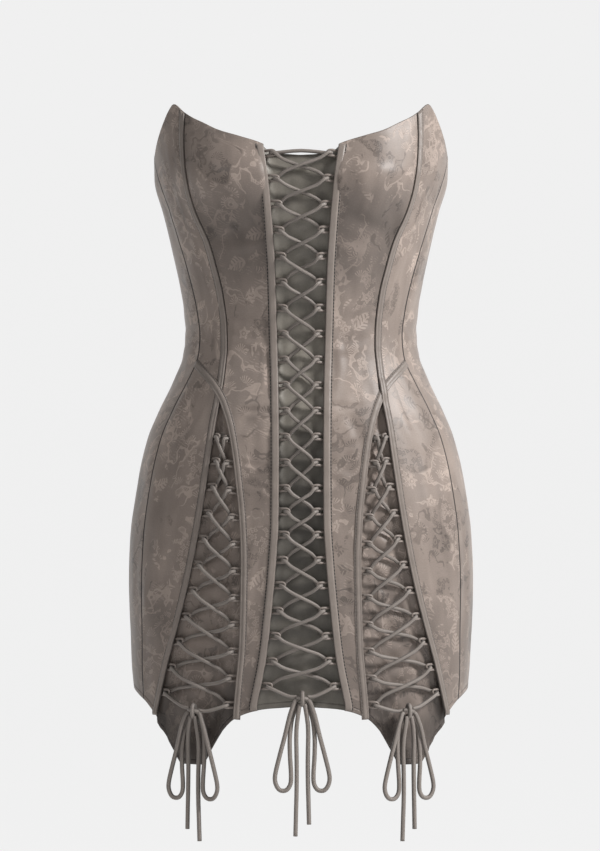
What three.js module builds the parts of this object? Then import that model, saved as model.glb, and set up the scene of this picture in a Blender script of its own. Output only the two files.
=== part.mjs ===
// A strapless corset mini dress, filled out in the form it has when it is worn, with laced openings down the front and over both hips.
// Millimetres. The origin is the middle of the waist, +X is to the right seen from the front, the front faces -Y and +Z is up.

import * as THREE from "three";

// Driving dimensions
const clothThickness = 2;
const seamGap = 0.3;
const layerGap = 0.35;
const channelWidth = 8.5;
const sideChannelWidth = 7.4;
const channelHeight = 1.1;
const channelCrown = 2.1;
const tapeGap = 0.85;
const tapeThickness = 1.4;
const tapeWidth = 7;
const tapeStandsOut = 0.6;
const insetDrop = 3;
const insetSlope = 9;
const insetUnderlap = 10;
const gussetUnderlap = 6.5;
const cordRadius = 2.15;
const laceRadius = 1.7;
const loopReach = 10.5;
const loopHalfHeight = 3.75;
const loopHalfDepth = 1.2;
const loopHalfBar = 1.4;
const knotRadius = 5.2;

// The form that the panels are cut to: half its width, and how far its front and back stand from the middle
const form = [
  { z: 250, halfWidth: 150, front: 80, back: 90 },
  { z: 215, halfWidth: 149, front: 90, back: 93 },
  { z: 177, halfWidth: 147, front: 100, back: 96 },
  { z: 153, halfWidth: 146.5, front: 106, back: 96 },
  { z: 119, halfWidth: 137.5, front: 106, back: 94 },
  { z: 77, halfWidth: 127.5, front: 97, back: 88 },
  { z: 49, halfWidth: 121.5, front: 90, back: 82 },
  { z: 21, halfWidth: 117, front: 85, back: 77 },
  { z: 0, halfWidth: 115.3, front: 84, back: 76 },
  { z: -21, halfWidth: 117.5, front: 86, back: 79 },
  { z: -49, halfWidth: 128, front: 92, back: 87 },
  { z: -77, halfWidth: 141.5, front: 99, back: 98 },
  { z: -105, halfWidth: 153, front: 104, back: 109 },
  { z: -147, halfWidth: 163, front: 109, back: 122 },
  { z: -203, halfWidth: 170.5, front: 112, back: 130 },
  { z: -245, halfWidth: 172, front: 112, back: 128 },
  { z: -329, halfWidth: 169, front: 108, back: 117 },
  { z: -370, halfWidth: 165.5, front: 106, back: 112 },
  { z: -430, halfWidth: 162, front: 104, back: 109 },
];
const frontFullness = 0.1;
const backFullness = 0.05;

// Each cup rounds out from the form around its fullest point
const cup = { turn: 33, z: 150, depth: 15, spread: 19, above: 52, below: 44 };

// Seams and edges of the right half. x is measured straight across, turn is degrees round the body from the centre front
const lacingEdge = [
  { z: 185, x: 37 },
  { z: 150, x: 32 },
  { z: 100, x: 27.4 },
  { z: 60, x: 25 },
  { z: 0, x: 23.4 },
  { z: -64, x: 21.8 },
  { z: -124, x: 21.3 },
  { z: -184, x: 21.6 },
  { z: -223, x: 23.8 },
  { z: -281, x: 29.1 },
  { z: -318, x: 33.4 },
  { z: -365, x: 42.5 },
];
const princessSeam = [
  { z: 215, x: 114.4 },
  { z: 192, x: 115.1 },
  { z: 167, x: 114 },
  { z: 140, x: 110 },
  { z: 118, x: 103.6 },
  { z: 87, x: 90 },
  { z: 62, x: 82.8 },
  { z: 38, x: 77 },
  { z: 2, x: 72.8 },
  { z: -15, x: 72.5 },
  { z: -36, x: 74.4 },
  { z: -58, x: 77.2 },
  { z: -69, x: 79.2 },
  { z: -91, x: 83.5 },
  { z: -124, x: 88.3 },
  { z: -184, x: 97.5 },
  { z: -238, x: 107.8 },
  { z: -283, x: 118.8 },
  { z: -324, x: 130.1 },
  { z: -374, x: 141.7 },
];
const gussetEdge = [
  { z: -69, x: 79.2 },
  { z: -90, x: 72.8 },
  { z: -119, x: 67.5 },
  { z: -149, x: 63.9 },
  { z: -184, x: 60.5 },
  { z: -224, x: 59 },
  { z: -274, x: 59.8 },
  { z: -309, x: 60.9 },
  { z: -344, x: 64 },
  { z: -375, x: 66.7 },
];
const sideSeam = [
  { z: 190, turn: 86.5 },
  { z: 174, turn: 83.5 },
  { z: 145, turn: 73 },
  { z: 116, turn: 70.5 },
  { z: 67, turn: 65.4 },
  { z: 21, turn: 61.5 },
  { z: -25, turn: 59.4 },
  { z: -63, turn: 62.6 },
  { z: -118, turn: 65 },
  { z: -227, turn: 66.1 },
  { z: -286, turn: 66.8 },
  { z: -360, turn: 69.6 },
];
const backSeam = [
  { z: 160, turn: 130 },
  { z: 90, turn: 126 },
  { z: 0, turn: 120 },
  { z: -110, turn: 125 },
  { z: -220, turn: 129 },
  { z: -360, turn: 128 },
];
const centreBack = 180;

// The upper and lower edges of the cloth, round the body
const neckline = [
  { turn: 0, z: 174 },
  { turn: 12, z: 177 },
  { turn: 14.5, z: 182.5 },
  { turn: 24, z: 190.5 },
  { turn: 33, z: 197 },
  { turn: 40.5, z: 205 },
  { turn: 47, z: 211.5 },
  { turn: 51, z: 216.5 },
  { turn: 57.6, z: 227 },
  { turn: 61.5, z: 219 },
  { turn: 66, z: 209 },
  { turn: 74, z: 193 },
  { turn: 84, z: 177 },
  { turn: 100, z: 165 },
  { turn: 120, z: 153 },
  { turn: 145, z: 147 },
  { turn: 180, z: 145 },
];
const hemline = [
  { turn: 0, z: -367 },
  { turn: 15, z: -370.7 },
  { turn: 23.5, z: -379 },
  { turn: 28, z: -389 },
  { turn: 32, z: -403.5 },
  { turn: 36, z: -419.5 },
  { turn: 38, z: -425.5 },
  { turn: 47, z: -425.5 },
  { turn: 49.5, z: -415.5 },
  { turn: 54.5, z: -395.3 },
  { turn: 60.5, z: -378 },
  { turn: 70, z: -363.6 },
  { turn: 86, z: -355 },
  { turn: 110, z: -352 },
  { turn: 180, z: -350 },
];

// The levels that every panel shares, so that neighbouring pieces follow each other
const levels = [-336, -296, -254, -212, -172, -136, -108, -86, -69, -48, -24, 0, 26, 52, 78, 104, 132];
const hemRows = 3;
const topRows = 4;
const crossingLevel = -69;

// The lacing: where its loops stand, and which strand lies on top at each crossing, R for the one that comes from the upper right
const centreLacing = {
  count: 22,
  rows: [
    { row: 0, z: 173.5 },
    { row: 13, z: -153.4 },
    { row: 15, z: -198.7 },
    { row: 21, z: -346.4 },
  ],
  over: "RRRRLRLLRLRLLRRLLLRLR",
};
const hipInnerLoops = {
  count: 11,
  rows: [
    { row: 0, z: -105 },
    { row: 1, z: -129.5 },
    { row: 10, z: -365.1 },
  ],
};
const hipOuterLoops = {
  count: 11,
  rows: [
    { row: 0, z: -103.5 },
    { row: 1, z: -127 },
    { row: 10, z: -355 },
  ],
};
const hipOver = "RRRRRRRRRR";

const colours = { satin: 0x8c8178, inset: 0x6f6a64, trim: 0x8f857c, lace: 0x938981 };

// A smooth curve through the rows of a table that never overshoots them
function through(rows, key, column) {
  const sorted = [...rows].sort((a, b) => a[key] - b[key]);
  const at = sorted.map((row) => row[key]);
  const value = sorted.map((row) => row[column]);
  const last = at.length - 1;
  const slope = at.slice(1).map((_, i) => (value[i + 1] - value[i]) / (at[i + 1] - at[i]));
  const lean = at.map((_, i) => {
    if (i === 0) return slope[0];
    if (i === last) return slope[last - 1];
    if (slope[i - 1] * slope[i] <= 0) return 0;
    return (2 * slope[i - 1] * slope[i]) / (slope[i - 1] + slope[i]);
  });
  return (place) => {
    if (place <= at[0]) return value[0];
    if (place >= at[last]) return value[last];
    let i = 0;
    while (place > at[i + 1]) i++;
    const width = at[i + 1] - at[i];
    const t = (place - at[i]) / width;
    const rise = value[i + 1] - value[i];
    const leftLean = lean[i] * width;
    const rightLean = lean[i + 1] * width;
    return value[i] + t * (leftLean + t * (3 * rise - 2 * leftLean - rightLean + t * (leftLean + rightLean - 2 * rise)));
  };
}

const halfWidthAt = through(form, "z", "halfWidth");
const frontAt = through(form, "z", "front");
const backAt = through(form, "z", "back");
const necklineAt = through(neckline, "turn", "z");
const hemlineAt = through(hemline, "turn", "z");

// The tongues' outer edges reach further round than the hem beside them, because they lie deeper
const tongueHemAt = (turn) => hemlineAt(turn < 49 ? Math.min(turn, 47) : 47 + (turn - 49) / 1.3);
const rad = THREE.MathUtils.degToRad;

// A point of the outer face of the cloth, turn degrees round the body from the centre front
function formPoint(turn, z) {
  const sine = Math.sin(rad(turn));
  const cosine = Math.cos(rad(turn));
  const depth = cosine > 0 ? frontAt(z) * (1 + frontFullness * sine * sine) : backAt(z) * (1 + backFullness * sine * sine);
  const around = (Math.abs(turn) - cup.turn) / cup.spread;
  const along = (z - cup.z) / (z > cup.z ? cup.above : cup.below);
  const rounding = cup.depth * Math.exp(-around * around - along * along);
  return new THREE.Vector3(halfWidthAt(z) * sine, -depth * cosine - rounding, z);
}

// The same point moved out from the cloth along its normal, or in where out is negative
function skin(turn, z, out = 0) {
  const step = 0.5;
  const across = formPoint(turn + step, z).sub(formPoint(turn - step, z));
  const up = formPoint(turn, z + step).sub(formPoint(turn, z - step));
  return formPoint(turn, z).addScaledVector(across.cross(up).normalize(), out);
}

// How many degrees round the body a distance along the cloth takes
function degreesFor(distance, turn, z) {
  return distance / formPoint(turn + 0.5, z).distanceTo(formPoint(turn - 0.5, z));
}

const turnAt = (x, z) => THREE.MathUtils.radToDeg(Math.asin(Math.min(1, x / halfWidthAt(z))));
const edgeFrom = (rows) => {
  const x = through(rows, "z", "x");
  return (z) => turnAt(x(z), z);
};
const lacing = edgeFrom(lacingEdge);
const princess = edgeFrom(princessSeam);
const gussetLine = edgeFrom(gussetEdge);
const gussetInner = (z) => (z > crossingLevel ? princess(z) : gussetLine(z));
const side = through(sideSeam, "z", "turn");
const back = through(backSeam, "z", "turn");
const shifted = (edge, distance) => (z) => edge(z) + degreesFor(distance, edge(z), z);

function closed(points, faces) {
  const geometry = new THREE.BufferGeometry();
  geometry.setAttribute("position", new THREE.Float32BufferAttribute(points.flatMap((p) => p.toArray()), 3));
  geometry.setIndex(faces);
  return geometry;
}

// A closed wall of cloth between an outer and an inner grid of points
function wall(columns, rows, outer, inner) {
  const points = [];
  for (const face of [outer, inner])
    for (let j = 0; j <= rows; j++) for (let i = 0; i <= columns; i++) points.push(face(i, j));
  const at = (face, i, j) => (face * (rows + 1) + j) * (columns + 1) + i;
  const faces = [];
  const quad = (a, b, c, d) => faces.push(a, b, c, a, c, d);
  for (let j = 0; j < rows; j++) {
    for (let i = 0; i < columns; i++) {
      quad(at(0, i, j), at(0, i + 1, j), at(0, i + 1, j + 1), at(0, i, j + 1));
      quad(at(1, i, j), at(1, i, j + 1), at(1, i + 1, j + 1), at(1, i + 1, j));
    }
    quad(at(0, 0, j), at(0, 0, j + 1), at(1, 0, j + 1), at(1, 0, j));
    quad(at(1, columns, j), at(1, columns, j + 1), at(0, columns, j + 1), at(0, columns, j));
  }
  for (let i = 0; i < columns; i++) {
    quad(at(1, i, 0), at(1, i + 1, 0), at(0, i + 1, 0), at(0, i, 0));
    quad(at(0, i, rows), at(0, i + 1, rows), at(1, i + 1, rows), at(1, i, rows));
  }
  return closed(points, faces);
}

// A closed band whose section at each row is a ring of points
function band(rings) {
  const sides = rings[0].length;
  const faces = [];
  for (let j = 0; j + 1 < rings.length; j++)
    for (let i = 0; i < sides; i++) {
      const a = j * sides + i;
      const b = j * sides + ((i + 1) % sides);
      faces.push(a, b, a + sides, b, b + sides, a + sides);
    }
  const top = (rings.length - 1) * sides;
  for (let i = 1; i + 1 < sides; i++) {
    faces.push(0, i + 1, i);
    faces.push(top, top + i, top + i + 1);
  }
  return closed(rings.flat(), faces);
}

// Where a column of a panel meets the neckline or the hem
function meets(edgeAt, turnOf, start) {
  let z = start;
  for (let i = 0; i < 40; i++) z += 0.6 * (edgeAt(turnOf(z)) - z);
  return z;
}

// The heights of a column's points: from the hem up to the lowest shared level, the shared levels, and up to the neckline
function heights(turnOf, { from = null, to = null, hemAt = hemlineAt } = {}) {
  const low = from ?? meets(hemAt, turnOf, -370);
  const high = to ?? meets(necklineAt, turnOf, 180);
  const shared = levels.filter((z) => z > (from ?? -Infinity) + 1 && z < (to ?? Infinity) - 1);
  const rows = [];
  if (from === null) for (let k = 0; k < hemRows; k++) rows.push(low + ((shared[0] - low) * k) / hemRows);
  else rows.push(low);
  rows.push(...shared);
  const top = shared.at(-1);
  if (to === null) for (let k = 1; k <= topRows; k++) rows.push(top + ((high - top) * k) / topRows);
  else rows.push(high);
  return rows;
}

// A cloth panel between two seams. shares are how far across it each column lies, and depthAt how far behind the outer face it is set
function panel({ left, right, shares, depthAt = () => 0, limits = {}, firstWidth = null, lastWidth = null }) {
  const turnOf = (share) => (z) => {
    const a = left(z) + degreesFor(seamGap / 2, left(z), z);
    const b = right(z) - degreesFor(seamGap / 2, right(z), z);
    if (firstWidth && share === shares[1]) return a + degreesFor(firstWidth, a, z);
    if (lastWidth && share === shares.at(-2)) return b - degreesFor(lastWidth, b, z);
    return a + (b - a) * share;
  };
  const columns = shares.map((share) => {
    const turn = turnOf(share);
    return heights(turn, limits).map((z) => ({ turn: turn(z), z }));
  });
  const rows = columns[0].length - 1;
  const at = (i, j, out) => {
    const { turn, z } = columns[i][j];
    return skin(turn, z, out - depthAt(turn, z));
  };
  return {
    geometry: wall(shares.length - 1, rows, (i, j) => at(i, j, 0), (i, j) => at(i, j, -clothThickness)),
    columns,
  };
}

const evenly = (count) => Array.from({ length: count + 1 }, (_, i) => i / count);

// A boning channel that lies on the strip of cloth between two columns of a panel
function channel(from, to, low = 0, high = from.length) {
  const rings = [];
  for (let j = low; j < high; j++) {
    const a = from[j];
    const b = to[j];
    const middle = { turn: (a.turn + b.turn) / 2, z: (a.z + b.z) / 2 };
    rings.push([
      skin(a.turn, a.z, layerGap),
      skin(a.turn, a.z, layerGap + channelHeight),
      skin(middle.turn, middle.z, layerGap + channelCrown),
      skin(b.turn, b.z, layerGap + channelHeight),
      skin(b.turn, b.z, layerGap),
    ]);
  }
  return band(rings);
}

// How far the inset behind a laced opening is set back: least under the edges, most between them
function insetDepth(edges) {
  const behindTape = clothThickness + tapeThickness + 2 * tapeGap;
  return (turn, z) => {
    const millimetre = degreesFor(1, turn, z);
    const inside = Math.min(...edges.map(({ edge, way }) => (way * (turn - edge(z))) / millimetre));
    return behindTape + insetDrop * THREE.MathUtils.smoothstep(inside, -3, insetSlope - 3);
  };
}

// A run of cord along a list of points, with a step at each of them
class Route extends THREE.Curve {
  constructor(points) {
    super();
    this.points = points;
  }
  getPoint(t) {
    const place = Math.min(1, Math.max(0, t)) * (this.points.length - 1);
    const i = Math.min(this.points.length - 2, Math.floor(place));
    return this.points[i].clone().lerp(this.points[i + 1], place - i);
  }
  getPointAt(t) {
    return this.getPoint(t);
  }
  getTangentAt(t) {
    return this.getTangent(t);
  }
}

function cord(points, radius, sides, wide = radius) {
  const section = new THREE.Shape(
    Array.from({ length: sides }, (_, i) => {
      const angle = ((i + 0.5) / sides) * 2 * Math.PI;
      return new THREE.Vector2(radius * Math.cos(angle), wide * Math.sin(angle));
    }),
  );
  return new THREE.ExtrudeGeometry(section, { steps: points.length - 1, extrudePath: new Route(points) });
}

// The height of a row's loops, evenly spaced between the rows of its table
function loopLevel({ rows }, k) {
  const next = Math.max(1, rows.findIndex(({ row }) => row >= k));
  const low = rows[next - 1];
  const high = rows[next];
  return low.z + ((high.z - low.z) * (k - low.row)) / (high.row - low.row);
}

// A laced edge: way is +1 where the opening lies towards larger turns and -1 where it lies towards smaller ones
function lacedEdge(edge, way, loops, reachAt = () => loopReach) {
  const place = (into, z, out) => {
    const turn = edge(z) + way * degreesFor(into, edge(z), z);
    return skin(turn, z, out);
  };
  return { edge, way, loops, place, reachAt };
}

const tapeDepth = clothThickness + tapeGap;
const tipDepth = 0.4;

// The tape behind a laced edge in one piece with its row of loops, each a U of cord that stands out from the tape's edge
function loopTape({ way, loops, place, reachAt }) {
  const points = [];
  const faces = [];
  const vertex = (into, z, out) => points.push(place(into, z, out)) - 1;
  const triangle = (a, b, c) => (way < 0 ? faces.push(a, c, b) : faces.push(a, b, c));
  const quad = (a, b, c, d) => {
    triangle(a, b, c);
    triangle(a, c, d);
  };
  const back = -tapeDepth - tapeThickness;
  const station = (into, z) => ({ z, front: vertex(into, z, -tapeDepth), back: vertex(into, z, back) });
  const centres = Array.from({ length: loops.count }, (_, k) => loopLevel(loops, loops.count - 1 - k));
  const spare = (centres.at(-1) - centres[0]) / (loops.count - 1) / 3;
  const low = centres[0] - spare;
  const high = centres.at(-1) + spare;
  const bars = [-loopHalfHeight - loopHalfBar, -loopHalfHeight + loopHalfBar, loopHalfHeight - loopHalfBar, loopHalfHeight + loopHalfBar];
  const near = [low, ...centres.flatMap((z) => bars.map((bar) => z + bar)), high].map((z) => station(tapeStandsOut, z));
  const between = centres.slice(1).map((z, k) => (z + centres[k]) / 2);
  const far = [low, ...centres, ...between, high].sort((a, b) => a - b).map((z) => station(-tapeWidth, z));

  for (let j = 0; j + 1 < far.length; j++) quad(far[j].back, far[j].front, far[j + 1].front, far[j + 1].back);
  for (let j = 0; j + 1 < near.length; j++)
    if (j % 2 === 0) quad(near[j].front, near[j].back, near[j + 1].back, near[j + 1].front);
  for (const face of ["front", "back"]) {
    const turned = face === "back";
    let i = 0;
    let j = 0;
    while (i + 1 < near.length || j + 1 < far.length) {
      const stepNear = j + 1 === far.length || (i + 1 < near.length && near[i + 1].z <= far[j + 1].z);
      const [a, b, c] = stepNear ? [far[j], near[i], near[++i]] : [far[j], near[i], far[++j]];
      if (turned) triangle(a[face], c[face], b[face]);
      else triangle(a[face], b[face], c[face]);
    }
  }
  quad(far[0].front, far[0].back, near[0].back, near[0].front);
  quad(far.at(-1).back, far.at(-1).front, near.at(-1).front, near.at(-1).back);

  centres.forEach((z, k) => {
    const root = (outer, inner) => [outer.front, inner.front, inner.back, outer.back];
    const bend = (outer, inner) => [
      vertex(outer[0], z + outer[1], loopHalfDepth - tipDepth),
      vertex(inner[0], z + inner[1], loopHalfDepth - tipDepth),
      vertex(inner[0], z + inner[1], -loopHalfDepth - tipDepth),
      vertex(outer[0], z + outer[1], -loopHalfDepth - tipDepth),
    ];
    const reach = reachAt(z);
    const wide = loopHalfHeight + loopHalfBar;
    const eye = loopHalfHeight - loopHalfBar;
    const at = 4 * k + 1;
    const sections = [
      root(near[at + 3], near[at + 2]),
      bend([reach - 1.7, wide - 0.6], [reach - 3.2, eye]),
      bend([reach + loopHalfBar, 0], [reach - loopHalfBar, 0]),
      bend([reach - 1.7, 0.6 - wide], [reach - 3.2, -eye]),
      root(near[at], near[at + 1]),
    ];
    for (let i = 0; i + 1 < sections.length; i++)
      for (let side = 0; side < 4; side++) {
        const next = (side + 1) % 4;
        quad(sections[i][side], sections[i][next], sections[i + 1][next], sections[i + 1][side]);
      }
  });
  return closed(points, faces);
}

// The lace's points at one loop, on its way down: in behind the loop's end, up through its eye and out over it
function throughLoop(laced, k) {
  const z = loopLevel(laced.loops, k);
  const tip = laced.reachAt(z);
  const clear = 4.2;
  return [
    laced.place(tip - 1.5, z + 1.2, -tipDepth - clear),
    laced.place(Math.max(tip - 4.9, Math.min(1.5, tip - 3.1)), z, -tipDepth),
    laced.place(tip - 1.5, z - 1.2, -tipDepth + clear),
  ];
}

// A crossing point between two loops, over or under the other strand
function crossing(from, to, turnOf, isOver) {
  const middle = from.clone().lerp(to, 0.5);
  return skin(turnOf(middle), middle.z, isOver ? 1.7 : -2.3);
}

// One lace: up one side from the knot, across the top and down the other side back to the knot
function laceRoute({ rightEdge, leftEdge, over, turnOf, knot, topRun }) {
  const strand = (startsRight) => {
    const points = [];
    for (let k = 0; k < rightEdge.loops.count; k++) {
      const onRight = startsRight === (k % 2 === 0);
      const here = throughLoop(onRight ? rightEdge : leftEdge, k);
      if (points.length) {
        const cameFromRight = !onRight;
        points.push(crossing(points.at(-1), here[0], turnOf, (over[k - 1] === "R") === cameFromRight));
      }
      points.push(...here);
    }
    const way = points.at(-1).clone().sub(knot).normalize();
    points.push(knot.clone().addScaledVector(way, knotRadius + 0.35));
    return points;
  };
  const left = strand(false);
  const right = strand(true);
  const run = left[0].clone().lerp(right[0], 0.5);
  return [...left.reverse(), skin(turnOf(run), run.z + topRun.rise, topRun.out), ...right];
}

// A tied bow hangs straight down from its knot. Its points are x to the right, drop down and out away from the cloth
const ear = [
  { x: 5.7, drop: 1.9, out: 0.4 },
  { x: 7.5, drop: 3.7, out: 1.2 },
  { x: 9.6, drop: 9, out: 2.2 },
  { x: 12.6, drop: 19, out: 2.6 },
  { x: 17, drop: 38, out: 2 },
  { x: 22.4, drop: 59, out: 2 },
  { x: 26.4, drop: 77, out: 2 },
  { x: 25.6, drop: 86, out: 2 },
  { x: 21.6, drop: 91.8, out: 2 },
  { x: 15.6, drop: 91.8, out: 2 },
  { x: 11.6, drop: 86, out: 2 },
  { x: 10.9, drop: 76, out: 2 },
  { x: 12, drop: 56, out: 1.8 },
  { x: 12, drop: 38, out: 0.4 },
  { x: 10, drop: 21, out: -1.5 },
  { x: 6, drop: 9, out: -2.6 },
  { x: 3.2, drop: 4.4, out: -3 },
];
const tail = [
  { share: 0, x: 2.4, out: 1.6 },
  { share: 0.08, x: 4, out: 2 },
  { share: 0.17, x: 5.4, out: 1.2 },
  { share: 0.26, x: 5.8, out: 0.6 },
  { share: 0.36, x: 5.6, out: 0.6 },
  { share: 0.47, x: 5.4, out: 1 },
  { share: 0.58, x: 5.4, out: 1.2 },
  { share: 0.69, x: 5.6, out: 1.2 },
  { share: 0.8, x: 6, out: 1 },
  { share: 0.9, x: 6.3, out: 0.8 },
  { share: 1, x: 6.6, out: 0.6 },
];
const tailStart = 5.3;
const bows = [
  { name: "centre", turn: 0.4, z: -357.5, earSize: 0.97, leftTail: 134, rightTail: 122.5 },
  { name: "hip_right", turn: 38.3, z: -371, earSize: 0.925, leftTail: 127, rightTail: 115.6 },
  { name: "hip_left", turn: -38.3, z: -371, earSize: 0.925, leftTail: 115.6, rightTail: 127 },
];
const knotStandsOff = 5.4;

function bowFrame({ turn, z }) {
  const knot = skin(turn, z, knotStandsOff);
  const out = skin(turn, z, 1).sub(skin(turn, z, 0)).setZ(0).normalize();
  const across = new THREE.Vector3(-out.y, out.x, 0);
  return { knot, place: (x, drop, away) => knot.clone().addScaledVector(across, x).addScaledVector(out, away).setZ(knot.z - drop) };
}

const frontShares = [0, 0.12, 0.35, 0.56, 0.78, 1];
const sideFrontShares = [0, 0.2, 0.6, 1];

const leftLacing = (z) => -lacing(z);
const centreRight = lacedEdge(lacing, -1, centreLacing);
const centreLeft = lacedEdge(leftLacing, 1, centreLacing);
const hipGap = (z) => (gussetLine(z) - princess(z)) / -degreesFor(1, princess(z), z);
const hipReach = (z) => Math.min(loopReach, hipGap(z) / 2 - 1.8);
const hipInner = lacedEdge(gussetLine, 1, hipInnerLoops, hipReach);
const hipOuter = lacedEdge(princess, -1, hipOuterLoops, hipReach);

const dress = new THREE.Group();
function add(name, geometry, colour, mirrored = false) {
  const material = new THREE.MeshStandardMaterial({ color: colour, roughness: 0.5, metalness: 0 });
  const mesh = new THREE.Mesh(geometry, material);
  mesh.name = name;
  if (mirrored) mesh.scale.x = -1;
  dress.add(mesh);
}
function addPair(name, geometry, colour) {
  add(name + "_right", geometry, colour);
  add(name + "_left", geometry, colour, true);
}

// Cloth panels
const frontOuter = (z) => (z > crossingLevel ? princess(z) : gussetLine(z));
const centreFront = panel({ left: lacing, right: frontOuter, shares: frontShares, firstWidth: channelWidth, lastWidth: sideChannelWidth });
const sideFront = panel({ left: princess, right: side, shares: sideFrontShares, firstWidth: sideChannelWidth });
addPair("centre_front", centreFront.geometry, colours.satin);
addPair("side_front", sideFront.geometry, colours.satin);
addPair("side_panel", panel({ left: side, right: back, shares: evenly(5) }).geometry, colours.satin);
addPair("back_panel", panel({ left: back, right: () => centreBack, shares: evenly(4) }).geometry, colours.satin);

const modesty = panel({
  left: shifted(leftLacing, -insetUnderlap),
  right: shifted(lacing, insetUnderlap),
  shares: [0, 0.14, 0.28, 0.5, 0.72, 0.86, 1],
  depthAt: insetDepth([
    { edge: leftLacing, way: 1 },
    { edge: lacing, way: -1 },
  ]),
});
add("modesty_panel", modesty.geometry, colours.inset);

const gussetLeft = shifted(gussetInner, -gussetUnderlap);
const gussetRight = shifted(princess, gussetUnderlap);
const gussetHemTurns = [20.6, 23.5, 28, 32, 38, 43.5, 49, 54, 59, 63.4];
const gussetSpan = gussetHemTurns.at(-1) - gussetHemTurns[0];
const gusset = panel({
  left: gussetLeft,
  right: gussetRight,
  shares: gussetHemTurns.map((turn) => (turn - gussetHemTurns[0]) / gussetSpan),
  depthAt: insetDepth([
    { edge: gussetInner, way: 1 },
    { edge: princess, way: -1 },
  ]),
  limits: { to: crossingLevel + 8, hemAt: tongueHemAt },
});
addPair("hip_gusset", gusset.geometry, colours.satin);

// Boning channels
const rowOfCrossing = hemRows + levels.indexOf(crossingLevel);
const front = centreFront.columns;
const sideColumns = sideFront.columns;
addPair("centre_channel", channel(front[0], front[1]), colours.trim);
addPair("princess_channel", channel(sideColumns[0], sideColumns[1]), colours.trim);
addPair("hip_channel_lower", channel(front.at(-2), front.at(-1), 0, rowOfCrossing + 1), colours.trim);

// The upper end of the hip channel slants up across the side front, from the princess channel to the side seam
const hipSlant = [
  { share: 0.23, z: -50.5 },
  { share: 0.4, z: -44.8 },
  { share: 0.6, z: -39.5 },
  { share: 0.8, z: -35 },
  { share: 0.99, z: -31 },
];
const slantHalfHeight = 5.2;
function slantedChannel() {
  const rings = hipSlant.map(({ share, z }) => {
    const place = (up, out) => {
      const turn = princess(z + up) + (side(z + up) - princess(z + up)) * share;
      return skin(turn, z + up, out);
    };
    const lift = layerGap + 0.35;
    return [
      place(slantHalfHeight, lift),
      place(slantHalfHeight, lift + channelHeight),
      place(0, lift + channelCrown),
      place(-slantHalfHeight, lift + channelHeight),
      place(-slantHalfHeight, lift),
    ];
  });
  return band(rings);
}
addPair("hip_channel_upper", slantedChannel(), colours.trim);

// Loops
add("centre_loops_right", loopTape(centreRight), colours.trim);
add("centre_loops_left", loopTape(centreLeft), colours.trim);
addPair("hip_inner_loops", loopTape(hipInner), colours.trim);
addPair("hip_outer_loops", loopTape(hipOuter), colours.trim);

// Laces
const centreFrame = bowFrame(bows[0]);
const centreLace = laceRoute({
  rightEdge: centreRight,
  leftEdge: centreLeft,
  over: centreLacing.over,
  turnOf: (p) => turnAt(p.x, p.z),
  knot: centreFrame.knot,
  topRun: { rise: 3, out: -2.6 },
});
add("centre_lace", cord(centreLace, laceRadius, 5), colours.lace);
const hipFrame = bowFrame(bows[1]);
const hipLace = laceRoute({
  rightEdge: hipOuter,
  leftEdge: hipInner,
  over: hipOver,
  turnOf: (p) => turnAt(p.x, p.z),
  knot: hipFrame.knot,
  topRun: { rise: 1.5, out: -4.6 },
});
addPair("hip_lace", cord(hipLace, laceRadius, 5), colours.lace);

// Bows
for (const bow of bows) {
  const { knot, place } = bowFrame(bow);
  const ball = new THREE.IcosahedronGeometry(knotRadius, 1);
  ball.translate(knot.x, knot.y, knot.z);
  add(bow.name + "_knot", ball, colours.lace);
  for (const way of [-1, 1]) {
    const name = bow.name + (way < 0 ? "_%_left" : "_%_right");
    const loop = ear.map(({ x, drop, out }) => place(way * x, drop * (drop > 12 ? bow.earSize : 1), out));
    add(name.replace("%", "ear"), cord(loop, cordRadius, 6), colours.lace);
    const length = way < 0 ? bow.leftTail : bow.rightTail;
    const end = tail.map(({ share, x, out }) => place(way * x, tailStart + (length - tailStart) * share, out));
    add(name.replace("%", "tail"), cord(end, cordRadius, 6), colours.lace);
  }
}

export default dress;
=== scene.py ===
# The look of a laced satin corset dress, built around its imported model. Blender works in metres, and the
# dress's own sizes here are in millimetres. The front faces -Y and the waist is at the origin.

import math

import bpy
import numpy as np
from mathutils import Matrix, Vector


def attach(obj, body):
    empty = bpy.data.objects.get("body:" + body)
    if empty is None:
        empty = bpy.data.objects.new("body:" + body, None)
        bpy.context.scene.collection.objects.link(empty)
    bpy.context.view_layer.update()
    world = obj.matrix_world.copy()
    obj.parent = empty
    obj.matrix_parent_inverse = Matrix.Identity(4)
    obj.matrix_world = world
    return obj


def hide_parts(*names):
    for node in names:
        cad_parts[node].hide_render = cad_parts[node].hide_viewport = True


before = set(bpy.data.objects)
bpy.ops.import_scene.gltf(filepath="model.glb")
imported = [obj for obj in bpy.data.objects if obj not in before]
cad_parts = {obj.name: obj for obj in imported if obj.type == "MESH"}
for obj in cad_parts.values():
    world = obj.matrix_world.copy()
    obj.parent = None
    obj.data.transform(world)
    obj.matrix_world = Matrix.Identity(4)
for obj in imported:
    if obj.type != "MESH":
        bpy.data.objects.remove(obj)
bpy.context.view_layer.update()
scene = bpy.context.scene
millimetre = 0.001
fullTurn = 2 * math.pi


# Camera
cameraPlace = {
    "x": -1,
    "distance": 4000,
    "height": -92.5,
    "frameHeight": 851,
    "sensor": 36,
}


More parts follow.
